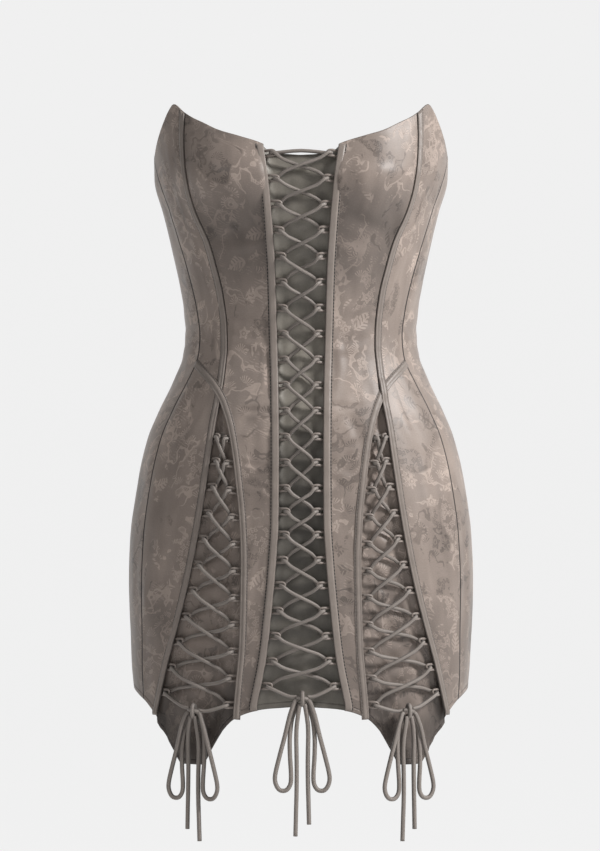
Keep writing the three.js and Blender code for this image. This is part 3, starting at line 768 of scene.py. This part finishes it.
# tip sets how dark the painted shade near the hem is, and under how dark the painted shade under the bust is
def satinMaterial(name, woven=True, tip=0, under=0, seamShadeWidth=0.95):
    s = Shader(name)
    place = s.map("cloth")
    x, y, _ = s.parts(place)
    if woven:
        tone, shade = brocadeTone(s, place)
        colour = satin["colour"]
    else:
        tone = s.noise(place, 3, 2) * 0.1
        # Soft clouds of painted sheen and shade
        shade = s.noise(s.vector("ADD", place, (5, 9, 0)), 17, 1) - 0.5
        colour = plainSatin["colour"]
    warp, weft = satin["weavePitch"]
    weave = (x * (fullTurn / warp)).sine() * 0.5 + (y * (fullTurn / weft)).sine() * 0.5
    slub = s.noise(s.combine(x * 0.25, y * 3), 2.2, 3)
    grain = s.noise(place, 1.4, 2) - 0.5
    fromHem, fromTop, _ = s.parts(s.map("ends"))
    # The hem's stitch line: a bumped groove whose darkening is partly painted shade in the groove and partly
    # the dashes of the stitches
    groove = (fromHem - satin["hemStitch"]).size().between(1.1, 0.25)
    dash = (x * (fullTurn / satin["stitchPitch"])).sine().between(-0.6, -0.2)
    # 0 at the hem and the top edge and 1 from about a millimetre in: the satin is darker along these edges
    awayFromCutEdge = s.math("MINIMUM", fromHem, fromTop).between(0.2, 1.3)
    fromLeft, fromRight, _ = s.parts(s.map("sides"))
    # Painted shadow along the seams, in a band at the panel's sides
    seamShade = s.math("MINIMUM", fromLeft, fromRight).between(seamShadeWidth, seamShadeWidth * 0.4)
    # Long soft streaks of painted sheen down the satin
    sheenStreaks = s.noise(s.combine(x, y * 0.14), 13, 2) - 0.5

    factor = 1 + tone * satin["contrast"] + shade * satin["sheen"] + grain * satin["grain"]
    factor = factor + (slub - 0.5) * 0.1 - groove * (0.22 + dash * 0.1)
    # Painted shade: darker over the last 75 mm above the hem by the share tip, for the tongues of the hip
    # insets
    factor = factor * (0.62 + awayFromCutEdge * 0.38) * (1 - fromHem.between(75, 15) * tip)
    factor = factor * paintedLightByHeight(fromHem, woven, under)
    factor = factor * (1 - seamShade * 0.85) * (1 + sheenStreaks * satin["sheenStreaks"])
    height = tone * 0.3 + slub * 0.35 - groove * 2.2
    return s.finish(
        {
            "Base Color": s.scaled(colour, factor),
            "Roughness": satin["roughness"] + tone * 0.08 + groove * 0.2,
            "Normal": s.bump(weave, 0.00004, 0.35, s.bump(height, 0.00022, 0.8)),
            "Specular IOR Level": 0.56,
            "Sheen Weight": 0.15,
            "Sheen Roughness": 0.4,
        }
    )


# The other panels get a wider painted shadow along their seams
satinCloth = satinMaterial("satin_brocade", seamShadeWidth=1.35)
# The front panels' copy of the brocade, with painted shade under the bust
frontCloth = satinMaterial("front_brocade", under=0.42)
# The hip insets' copy of the brocade, with painted shade towards the tips of its tongues
gussetCloth = satinMaterial("inset_brocade", tip=0.58)
insetCloth = satinMaterial("inset_satin", woven=False)
print("materials of the cloth")


def addPanels():
    rows = [  # piece, node, inner edge, outer edge, cloth, then seed and shift of the brocade on each half
        ("centreFront", "centre_front", lacing, frontOuter, frontCloth, (11, 40, 0), (23, -260, 30)),
        ("sideFront", "side_front", princess, side, satinCloth, (31, 130, 55), (43, -410, 15)),
        ("sidePanel", "side_panel", side, back, satinCloth, (51, 620, 0), (63, -620, 80)),
        ("backPanel", "back_panel", back, centreBack, satinCloth, (71, 900, 20), (83, -900, 60)),
    ]
    for name, node, inner, outer, material, *onHalves in rows:
        for (way, half), (seed, *shift) in zip(halves, onHalves):
            grid = Grid(*edgesOf(inner, outer, way))
            clothPanel(name + half, f"{node}_{half.lower()}", grid, clothRelief(grid, seed), material, shift)


addPanels()
print("panels")


# The insets behind the lacing are set back, and puff out a little between the laces
inset = {
    "drop": 3.0,
    "behind": 4.5,
    "slope": 9,
    "modestyUnderlap": 10,
    "gussetUnderlap": 6.5,
    "centreTop": 175,
    "centrePitch": 520 / 21,
    "hipTop": -105,
    "hipPitch": 25.4,
}


# An inset's grid, how deep each of its places lies and how far it is from the nearest edge that covers it
def insetGrid(left, right, under, **limits):
    grid = Grid(shifted(left, -under), shifted(right, under), **limits)
    fromEdges = [(grid.turn - left(grid.z)), (right(grid.z) - grid.turn)]
    inside = np.minimum(*fromEdges) / degreesFor(1, grid.turn, grid.z)
    return grid, inset["behind"] + inset["drop"] * smooth(inside, -3, inset["slope"] - 3), inside


def addModestyPanel():
    grid, depth, inside = insetGrid(mirrored(lacing), lacing, inset["modestyUnderlap"])
    cell = (inset["centreTop"] - grid.z) / inset["centrePitch"]
    puff = 0.6 * np.cos(fullTurn * cell) * np.cos(math.pi * grid.across / 44) * smooth(inside, 2, 12)
    folds = 0.6 * softHills(grid.across, grid.z * 0.5, 17, 91) * smooth(inside, 2, 10)
    folds = folds * (1 - 0.5 * smooth(grid.fromHem, 22, 8))
    clothPanel("modestyPanel", "modesty_panel", grid, puff + folds, insetCloth, (0, 0), depth)


def addHipGusset(way, half):
    left, right = edgesOf(frontOuter, princess, way)
    limits = {"high": crossingLevel + 8, "hemAt": tongueHemAt}
    grid, depth, inside = insetGrid(left, right, inset["gussetUnderlap"], **limits)
    cell = (inset["hipTop"] - grid.z) / inset["hipPitch"]
    span = np.clip(grid.fromLeft[:, -1:], 20, 90)
    puff = 0.8 * np.cos(fullTurn * cell) * np.sin(math.pi * grid.fromLeft / span) * smooth(inside, 2, 12)
    puff = puff * smooth(grid.z, -372, -340)
    folds = 0.8 * softHills(grid.across, grid.z * 0.6, 21, 97 + way) * smooth(inside, 2, 10)
    tongue = smooth(grid.z, -368, -385)
    folds = folds + 0.7 * tongue * np.sin(grid.across / 4.6 + 1.3 * way) * smooth(grid.fromHem, 0, 8)
    name, node = "hipGusset" + half, "hip_gusset_" + half.lower()
    clothPanel(name, node, grid, puff + folds, gussetCloth, (330 * way, -40), depth)


addModestyPanel()
for way, half in halves:
    addHipGusset(way, half)
print("insets")


# Trim for the channels and loops: plain satin cut from the same colour
trim = {
    "colour": (0.314, 0.264, 0.232, 1),
    "roughness": 0.42,
    "stitchPitch": 3.3,
    "stitchInset": 0.95,
}


def trimMaterial(name, stitched, tint=1):
    s = Shader(name)
    place = s.map("cloth")
    x, y, _ = s.parts(place)
    streak = s.noise(s.combine(x * 1.6, y * 0.35), 1.6, 3)
    soft = s.noise(place, 18, 2)
    fromLeft, fromRight, _ = s.parts(s.map("sides"))
    dash = (y * (fullTurn / trim["stitchPitch"])).sine().between(-0.5, 0.1)
    # The topstitching beside the second edge: a bumped groove whose darkening is partly painted shade in the
    # groove and partly the stitch dashes
    groove = (fromRight - trim["stitchInset"]).size().between(0.8, 0.25)
    factor = 1 + (streak - 0.5) * 0.3 + (soft - 0.5) * 0.35 - groove * (0.5 + dash * 0.45) * stitched
    # Painted shade along both edges of the channel, where it meets the cloth
    factor = factor * (1 - fromLeft.between(0.6, 0.15) * 0.4) * (1 - fromRight.between(0.6, 0.1) * 0.4)
    # Painted shade on the sides of a cord and on its face towards the dress
    away, _, _ = s.parts(s.map("away"))
    factor = factor * (1 - away.between(0.25, 0.95) * 0.5)
    return s.finish(
        {
            "Base Color": s.scaled(trim["colour"], factor * tint),
            "Roughness": trim["roughness"] + groove * 0.25,
            "Normal": s.bump(streak * 0.5 - groove * dash * 2, 0.0002, 0.7),
            "Specular IOR Level": 0.5,
            "Sheen Weight": 0.15,
        }
    )


trimCloth = trimMaterial("trim_satin", 1)
softTrimCloth = trimMaterial("soft_trim_satin", 0.45, 0.9)

# Boning channels. The first edge of each is the one that carries the piping, the other is topstitched
channelSection = [  # share of the width from the piped edge, height
    (0, -0.05), (0.01, 0.45), (0.05, 0.95), (0.12, 1.25), (0.2, 1.15), (0.27, 0.9), (0.34, 1.0), (0.46, 1.35),
    (0.6, 1.4), (0.72, 1.1), (0.82, 0.7), (0.88, 0.42), (0.93, 0.55), (0.985, 0.4), (1, -0.05),
]
flatSection = [  # the same for the centre channels, which are flat
    (0, -0.05), (0.012, 0.7), (0.05, 1.3), (0.11, 1.55), (0.2, 1.6), (0.4, 1.7), (0.6, 1.72), (0.74, 1.55),
    (0.8, 1.1), (0.86, 0.75), (0.92, 1.0), (0.98, 0.75), (1, -0.05),
]
channel = {
    "centreWidth": 8.5,
    "sideWidth": 7.4,
    "fromSeam": 0.2,
    "raised": 0.12,
    "sunk": 0.25,
    "spacing": 2.2,
}


# A channel's closed wall. across is the distance from its piped edge, and flip is for the dress's left half
def channelWall(name, nodes, outer, inner, across, along, width, shift, flip, material):
    place = np.stack([across + shift, along], axis=-1)
    sides = np.stack([across, width - across], axis=-1)
    grids = [outer, inner, place, sides]
    if flip:
        grids = [grid[:, ::-1] for grid in grids]
    outer, inner, place, sides = grids
    piece = wallPiece(name, outer, inner, cloth=place, sides=sides)
    piece.data.materials.append(material)
    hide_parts(*nodes)


# A channel along a seam of the right half, or of its mirror image. high may differ across its width
def channelPiece(name, node, line, section, width, low, high, way, seed, material, lift=0):
    share, height = np.array(section).T
    count = max(8, int((np.max(high) - low) / channel["spacing"]))
    high = high + 0 * share
    z = low + np.linspace(0, 1, count)[:, None] * (high - low)[None, :]
    start = way * line(z)
    turn = start + way * degreesFor(channel["fromSeam"] + share * width, start, z)
    wave = 0.16 * unevenWave(z, 9, seed) * np.sin(math.pi * share)
    raised = crossingHump(z, lift)
    ends = np.minimum(z - low, high - z)
    taper = np.sqrt(np.clip(ends / 1.2, 0, 1))
    outer = skin(turn, z, (height + wave) * (0.35 + 0.65 * taper) + raised + channel["raised"])
    inner = skin(turn, z, raised * 0.8 - channel["sunk"])
    across = share * width + 0 * z
    channelWall(name, [node], outer, inner, across, z, width, seed * 13, way < 0, material)


# Where a line drawn a distance from an edge meets the neckline or the hem
def meeting(edgeAt, line, start):
    z = start
    for _ in range(40):
        z = z + 0.6 * (float(edgeAt(line(z))) - z)
    return z


# On the right the princess channel passes over the hip channel, on the left it passes under it
def crossingHump(z, height):
    return height * np.exp(-(((z + 57) / 9) ** 4))


def addChannels(way, half):
    bottom = meeting(hemlineAt, lacing, -368) + 0.3
    top = meeting(necklineAt, lacing, 180) - 0.3
    name, node = "centreChannel" + half, "centre_channel_" + half.lower()
    width = channel["centreWidth"]
    channelPiece(name, node, lacing, flatSection, width, bottom, top, way, 3, trimCloth)
    bottom = meeting(hemlineAt, shifted(princess, 2), -375) + 1
    width = channel["sideWidth"]
    across = channel["fromSeam"] + width * np.array(channelSection)[:, 0]
    top = np.array([meeting(necklineAt, shifted(princess, distance), 215) - 0.8 for distance in across])
    name, node = "princessChannel" + half, "princess_channel_" + half.lower()
    lift = 1.5 if half == "Right" else 0
    channelPiece(name, node, princess, channelSection, width, bottom, top, way, 5, softTrimCloth, lift)


# The hip channel comes down from the side seam, crosses the princess channel and goes on down the inset
slant = [  # share of the way from princess seam to side seam, z
    (0.995, -31), (0.8, -35), (0.6, -39.5), (0.4, -44.8), (0.23, -50.5), (0.08, -58), (-0.03, -66),
]


def hipChannelLine():
    rows = [(float(princess(z) + (side(z) - princess(z)) * share), z) for share, z in slant]
    bottom = meeting(hemlineAt, gussetLine, -375) + 0.3
    for z in np.linspace(-76, bottom, 26):
        inward = degreesFor(channel["sideWidth"] / 2 + channel["fromSeam"], gussetLine(z), z)
        rows.append((float(gussetLine(z) - inward), float(z)))
    return rounded([(turn, z, 0) for turn, z in rows], 5)[:, :2]


def addHipChannels():
    line = hipChannelLine()[::-1]
    turn, z = line[:, :1], line[:, 1:]
    arc = np.gradient(turn[:, 0]) / degreesFor(1, turn[:, 0], z[:, 0])
    rise = np.gradient(z[:, 0])
    size = np.hypot(arc, rise)
    right, up = (rise / size)[:, None], (-arc / size)[:, None]
    width = channel["sideWidth"]
    share, height = np.array(channelSection)[::-1].T
    offset = (0.5 - share) * width
    placeTurn = turn + degreesFor(offset * right, turn, z)
    placeZ = z + offset * up
    run = np.cumsum(size[::-1])[::-1, None]
    wave = 0.15 * unevenWave(run, 10, 7) * np.sin(math.pi * share)
    across = share * width + 0 * run
    along = 0 * share - run
    for way, half in halves:
        hump = crossingHump(z, 1.6 if half == "Left" else 0)
        outer = skin(way * placeTurn, placeZ, height * 0.95 + wave + hump + channel["raised"])
        inner = skin(way * placeTurn, placeZ, 0.6 * hump - channel["sunk"] + 0 * placeZ)
        nodes = [f"hip_channel_{part}_{half.lower()}" for part in ("upper", "lower")]
        name = "hipChannel" + half
        channelWall(name, nodes, outer, inner, across, along, width, 200, way < 0, softTrimCloth)


for way, half in halves:
    addChannels(way, half)
addHipChannels()
print("channels")


# Cords are round tubes along a line, closed at their ends. The map holds a tube's turns and length, and how
# far it faces away from the outside of the dress
def tube(line, radius, sides=8, start=0):
    line = np.asarray(line, float)
    radius = np.broadcast_to(np.asarray(radius, float), len(line))
    run = np.gradient(line, axis=0)
    run /= np.linalg.norm(run, axis=1, keepdims=True)
    first = np.cross(run[0], (0.31, 0.52, 0.8))
    across = [first / np.linalg.norm(first)]
    for direction in run[1:]:
        turned = across[-1] - direction * np.dot(across[-1], direction)
        across.append(turned / np.linalg.norm(turned))
    across = np.array(across)
    other = np.cross(run, across)
    angle = fullTurn * np.arange(sides) / sides
    ring = across[:, None] * np.cos(angle)[None, :, None] + other[:, None] * np.sin(angle)[None, :, None]
    points = line[:, None] + ring * radius[:, None, None]
    length = np.concatenate([[0], np.cumsum(np.linalg.norm(np.diff(line, axis=0), axis=1))])
    # How far each point of a ring faces in towards the dress; the cord materials paint shade there
    outward = line * (1, 2, 0)
    outward /= np.linalg.norm(outward, axis=1, keepdims=True)
    away = 1 - (ring * outward[:, None]).sum(axis=-1)
    place = np.stack(np.broadcast_arrays(angle[None, :] * 1.8, length[:, None], away), axis=-1)
    points = np.concatenate([points.reshape(-1, 3), line[:1], line[-1:]])
    place = np.concatenate([place.reshape(-1, 3), place[0, :1], place[-1, :1]])
    count = len(line)
    faces = []
    for j in range(count - 1):
        for i in range(sides):
            n = (i + 1) % sides
            a, b = start + j * sides, start + (j + 1) * sides
            faces.append((a + i, a + n, b + n, b + i))
    low, high = start + count * sides, start + count * sides + 1
    last = start + (count - 1) * sides
    for i in range(sides):
        n = (i + 1) % sides
        faces.append((low, start + n, start + i))
        faces.append((high, last + i, last + n))
    return points, faces, place


def tubesPiece(name, nodes, lines, radius, material, sides=8):
    points, faces, places, start = [], [], [], 0
    for line in lines:
        p, f, m = tube(line, radius, sides, start)
        points.append(p)
        faces.extend(f)
        places.append(m)
        start += len(p)
    place = np.concatenate(places)
    layers = {"cloth": place[:, :2], "sides": place[:, :2] * 0 + 3, "away": place[:, [2, 2]]}
    piece = newPiece(name, np.concatenate(points), faces, layers)
    piece.data.materials.append(material)
    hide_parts(*nodes)
    return piece


lace = {
    "colour": (0.275, 0.238, 0.212, 1),
    "roughness": 0.5,
    "sideShade": 0.6,
    "radius": 1.85,
    "bowRadius": 2.2,
    "knotRadius": 2.15,
    "besideLoop": 3.8,
    "slack": 0.03,
}


def laceMaterial():
    s = Shader("lace_cord")
    place = s.map("cloth")
    x, y, _ = s.parts(place)
    braid = ((x * 1.7 + y * 2.6).sine() * (x * 1.7 - y * 2.6).sine()).between(-0.6, 0.6)
    fuzz = s.noise(place, 1.4, 3)
    soft = s.noise(place, 25, 2)
    factor = 1 + braid * 0.14 + (fuzz - 0.5) * 0.2 + (soft - 0.5) * 0.25
    # Painted shade on the sides of the cord and on its face towards the dress
    away, _, _ = s.parts(s.map("away"))
    factor = factor * (1 - away.between(0.25, 0.95) * lace["sideShade"])
    return s.finish(
        {
            "Base Color": s.scaled(lace["colour"], factor),
            "Roughness": lace["roughness"] + (fuzz - 0.5) * 0.1,
            "Normal": s.bump(braid * 0.7 + fuzz * 0.5, 0.00025, 0.6),
            "Sheen Weight": 0.25,
            "Sheen Roughness": 0.45,
        }
    )


laceCord = laceMaterial()

# Bows. x goes away from the middle, drop down from the knot and out away from the cloth
ear = [  # x, drop, out
    (5.7, 1.9, 0.4), (7.5, 3.7, 1.2), (9.6, 9, 2.2), (12.6, 19, 2.6), (17, 38, 2), (22.4, 59, 2),
    (26.4, 77, 2), (25.6, 86, 2), (21.6, 91.8, 2), (15.6, 91.8, 2), (11.6, 86, 2), (10.9, 76, 2),
    (12, 56, 1.8), (12, 38, 0.4), (10, 21, -1.5), (6, 9, -2.6), (3.2, 4.4, -3),
]
tail = [  # share of the drop, x, out
    (0, 2.4, 1.6), (0.08, 4, 2), (0.17, 5.4, 1.2), (0.26, 5.8, 0.6), (0.36, 5.6, 0.6), (0.47, 5.4, 1),
    (0.58, 5.4, 1.2), (0.69, 5.6, 1.2), (0.8, 6, 1), (0.9, 6.3, 0.8), (1, 6.6, 0.6),
]
knotWrap = [  # x, drop, out
    (0.2, -1, -3), (0.2, -4.6, -1.6), (0.2, -5.6, 1), (0.2, -3.6, 3.2), (0.2, 0.5, 3.9),
    (0.2, 4.2, 3), (0.2, 6.2, 0.6), (0.2, 4.6, -2.4),
]
knotRoll = [  # x, drop, out
    (-5, -0.6, 0.2), (-2.6, -0.8, 1.4), (0, -0.4, 1.6), (2.6, 0.2, 1.4), (5, 0.9, 0.2),
]
bows = [  # name, node, turn, z, size of the ears, drop of the left tail, of the right tail
    ("centre", "centre", 0.4, -357.5, 0.97, 134, 122.5),
    ("hipRight", "hip_right", 38.3, -371, 0.925, 127, 115.6),
    ("hipLeft", "hip_left", -38.3, -371, 0.925, 115.6, 127),
]
bow = {"standsOff": 5.4, "tailStart": 5.3, "earNarrowTo": 12}


# The middle of a knot, and the places about it
def bowFrame(turn, z):
    knot = skin(turn, z, bow["standsOff"])
    out = normalAt(turn, z) * (1, 1, 0)
    out /= np.linalg.norm(out)
    across = np.array([-out[1], out[0], 0])
    return knot, lambda x, drop, away: knot + across * x + out * away + np.array([0, 0, -drop])


def pathLength(line):
    return float(np.linalg.norm(np.diff(line, axis=0), axis=1).sum()) * millimetre


# A free end of a lace, from its knot on
def freeCord(name, node, line):
    piece = tubesPiece(name, [node], [line], lace["bowRadius"], laceCord, 10)


def addBow(name, node, turn, z, size, leftDrop, rightDrop):
    knot, place = bowFrame(turn, z)
    lines = [rounded([place(*row) for row in rows]) for rows in (knotWrap, knotRoll)]
    tubesPiece(name + "Knot", [node + "_knot"], lines, lace["knotRadius"], laceCord, 10)
    for way, half, drop in ((-1, "left", leftDrop), (1, "right", rightDrop)):
        rows = [(way * x, fall * (size if fall > bow["earNarrowTo"] else 1), out) for x, fall, out in ear]
        line = rounded([place(*row) for row in rows])
        freeCord(name + "Ear" + half.title(), f"{node}_ear_{half}", line)
        length = drop - bow["tailStart"]
        rows = [(way * x, bow["tailStart"] + length * share, out) for share, x, out in tail]
        line = rounded([place(*row) for row in rows])
        freeCord(name + "Tail" + half.title(), f"{node}_tail_{half}", line)


for row in bows:
    addBow(*row)
print("bows")

# Loops and laces
loopSizes = {"reach": 10.5, "halfHeight": 2.7, "radius": 1.35, "root": -3.4, "tip": -0.4}
centreLoops = {"count": 22, "rows": [(0, 173.5), (13, -153.4), (15, -198.7), (21, -346.4)]}  # row, z
hipInnerLoops = {"count": 11, "rows": [(0, -105), (1, -129.5), (10, -365.1)]}
hipOuterLoops = {"count": 11, "rows": [(0, -103.5), (1, -127), (10, -355)]}
centreOver = "RRRRLRLLRLRLLRRLLLRLR"
hipOver = "RRRRRRRRRR"


# The height of a row's loops, evenly spaced between the rows of its table
def loopLevel(loops, k):
    row, z = zip(*loops["rows"])
    return float(np.interp(k, row, z))


# One edge of a lacing with its row of loops. way is the side that they point to, 1 for the right and -1 for
# the left, and reachAt says how far they reach at a height
class LacedEdge:
    def __init__(self, edge, way, loops, reachAt=None):
        self.edge = edge
        self.way = way
        self.loops = loops
        self.reachAt = reachAt or (lambda z: loopSizes["reach"])

    def place(self, into, z, out):
        turn = self.edge(z) + self.way * degreesFor(into, self.edge(z), z)
        return skin(turn, z, out)

    def loopLines(self, seed):
        chance = np.random.default_rng(seed)
        lines = []
        for k in range(self.loops["count"]):
            z = loopLevel(self.loops, k)
            reach = self.reachAt(z) + 0.2
            h = loopSizes["halfHeight"]
            tilt = chance.uniform(-0.5, 0.5)
            rows = [
                (-2.5, h, loopSizes["root"]),
                (0.6, h, loopSizes["root"] + 0.3),
                (3, h, -1.6),
                (reach - 4, h * 0.98, loopSizes["tip"]),
                (reach - 1.6, h * 0.72, loopSizes["tip"]),
                (reach - 0.6, 0, loopSizes["tip"]),
                (reach - 1.6, -h * 0.72, loopSizes["tip"]),
                (reach - 4, -h * 0.98, loopSizes["tip"]),
                (3, -h, -1.6),
                (0.6, -h, loopSizes["root"] + 0.3),
                (-2.5, -h, loopSizes["root"]),
            ]
            tilted = [(into, z + up + tilt * into / reach, out) for into, up, out in rows]
            lines.append(rounded([self.place(*row) for row in tilted], 3))
        return lines

    # In behind the loop's end, up through its eye and out over it, on the lace's way down
    def throughLoop(self, k):
        z = loopLevel(self.loops, k)
        tip = self.reachAt(z)
        return [
            self.place(tip - 1.5, z + 1.2, loopSizes["tip"] - lace["besideLoop"]),
            self.place(max(tip - 4.6, min(1.5, tip - 3.1)), z, loopSizes["tip"]),
            self.place(tip - 1.5, z - 1.2, loopSizes["tip"] + lace["besideLoop"] - 0.4),
        ]


# Two strands zigzag down to the knot from a stretch that joins them above the first loops. over says for
# each crossing which strand lies on top, the one that comes from the right (R) or from the left (L)
def laceLine(rightEdge, leftEdge, over, knot, topRise, topOut):
    def turnOf(point):
        return math.degrees(math.asin(min(1, point[0] / float(halfWidthAt(point[2])))))

    def strand(startsRight):
        chance = np.random.default_rng(5 + startsRight)
        points = []
        for k in range(rightEdge.loops["count"]):
            onRight = startsRight == (k % 2 == 0)
            here = (rightEdge if onRight else leftEdge).throughLoop(k)
            if points:
                middle = (points[-1] + here[0]) / 2
                isOver = (over[k - 1] == "R") == (not onRight)
                cross = skin(turnOf(middle), middle[2], 1.8 if isOver else -2.4)
                span = np.linalg.norm(here[0] - points[-1])
                sag = np.array([0, 0, lace["slack"] * chance.uniform(0.6, 1.4) * span])
                points.append(0.66 * points[-1] + 0.34 * cross - sag)
                points.append(cross)
                points.append(0.66 * here[0] + 0.34 * cross + sag)
            points.extend(here)
        way = points[-1] - knot
        points.append(knot + way * 0.45 - (0, 0, 2.2))
        points.append(knot + way / np.linalg.norm(way) * 4.6)
        return points

    left = strand(False)
    right = strand(True)
    run = (left[0] + right[0]) / 2
    return left[::-1] + [skin(turnOf(run), run[2] + topRise, topOut)] + right


def addCentreLacing():
    right = LacedEdge(lacing, -1, centreLoops)
    left = LacedEdge(mirrored(lacing), 1, centreLoops)
    for half, laced, seed in (("Right", right, 1), ("Left", left, 2)):
        node = "centre_loops_" + half.lower()
        tubesPiece("centreLoops" + half, [node], laced.loopLines(seed), loopSizes["radius"], trimCloth)
    line = rounded(laceLine(right, left, centreOver, bowFrame(*bows[0][2:4])[0], 3, -2.6))
    tubesPiece("centreLace", ["centre_lace"], [line], lace["radius"], laceCord)
    print(f"centre lace {pathLength(line):.2f} m")


# How far the hip loops reach in: less where the inset is narrow
def hipReach(z):
    gap = (princess(z) - gussetLine(z)) / degreesFor(1, princess(z), z)
    return min(loopSizes["reach"], float(gap) / 2 - 1.8)


def addHipLacing():
    inner = LacedEdge(gussetLine, 1, hipInnerLoops, hipReach)
    outer = LacedEdge(princess, -1, hipOuterLoops, hipReach)
    line = rounded(laceLine(outer, inner, hipOver, bowFrame(*bows[1][2:4])[0], 1.5, -4.6))
    print(f"hip lace {pathLength(line):.2f} m")
    for way, half in halves:
        flip = (way, 1, 1)
        for part, laced, seed in (("Inner", inner, 3), ("Outer", outer, 4)):
            lines = [loop * flip for loop in laced.loopLines(seed)]
            node = f"hip_{part.lower()}_loops_{half.lower()}"
            tubesPiece(f"hip{part}Loops{half}", [node], lines, loopSizes["radius"], trimCloth)
        tubesPiece("hipLace" + half, ["hip_lace_" + half.lower()], [line * flip], lace["radius"], laceCord)


addCentreLacing()
addHipLacing()
print("lacing")


# Stage: a pale floor that sweeps up into a backdrop, soft studio light and a pale surrounding
stage = {
    "floor": -0.62,
    "sweepStart": 5.6,
    "sweepRadius": 1.6,
    "halfWidth": 9,
    "front": -7,
    "top": 6,
    "floorColour": (0.8, 0.8, 0.8, 1),
    "backdropColour": (0.04, 0.04, 0.04, 1),
    "glow": 0.85,
    "surround": 0.2,
}
lights = [  # name, watts, size, place, aim
    ("key", 110, 0.8, (2.55, -1.25, 1.85), (0, 0, -0.1)),
    ("fill", 9.5, 1.2, (-2.1, -2.4, 1.9), (0, 0, -0.1)),
]


def addStage():
    profile = [(stage["front"], stage["floor"]), (stage["sweepStart"], stage["floor"])]
    for k in range(1, 13):
        angle = math.pi / 2 * k / 12
        y = stage["sweepStart"] + stage["sweepRadius"] * math.sin(angle)
        z = stage["floor"] + stage["sweepRadius"] * (1 - math.cos(angle))
        profile.append((y, z))
    profile.append((profile[-1][0], stage["top"]))
    points = [(x, y, z) for y, z in profile for x in (-stage["halfWidth"], stage["halfWidth"])]
    faces = [(2 * i, 2 * i + 1, 2 * i + 3, 2 * i + 2) for i in range(len(profile) - 1)]
    mesh = bpy.data.meshes.new("floor")
    mesh.from_pydata(points, [], faces)
    mesh.polygons.foreach_set("use_smooth", [True] * len(mesh.polygons))
    floor = bpy.data.objects.new("floor", mesh)
    scene.collection.objects.link(floor)
    s = Shader("floor_paper")
    place = s.node("ShaderNodeTexCoord")
    far = s.parts(Wire(s, place.outputs["Object"]))[1].between(0.2, 0.8)
    shine = s.scaled((stage["glow"],) * 3, far)
    colour = s.blend(far, stage["floorColour"], stage["backdropColour"])
    values = {"Base Color": colour, "Roughness": 0.9, "Specular IOR Level": 0}
    values |= {"Emission Color": shine, "Emission Strength": 1}
    mesh.materials.append(s.finish(values))


def addLights():
    for name, power, size, place, aim in lights:
        data = bpy.data.lights.new(name, "AREA")
        data.energy = power
        data.shape = "DISK"
        data.size = size
        lamp = bpy.data.objects.new(name, data)
        lamp.location = place
        lamp.rotation_euler = (Vector(aim) - Vector(place)).to_track_quat("-Z", "Y").to_euler()
        scene.collection.objects.link(lamp)
    world = bpy.data.worlds.new("studio")
    world.use_nodes = True
    background = world.node_tree.nodes["Background"]
    background.inputs["Color"].default_value = (1, 1, 1, 1)
    background.inputs["Strength"].default_value = stage["surround"]
    scene.world = world
    scene.view_settings.view_transform = "Standard"


addStage()
addLights()
print("stage")
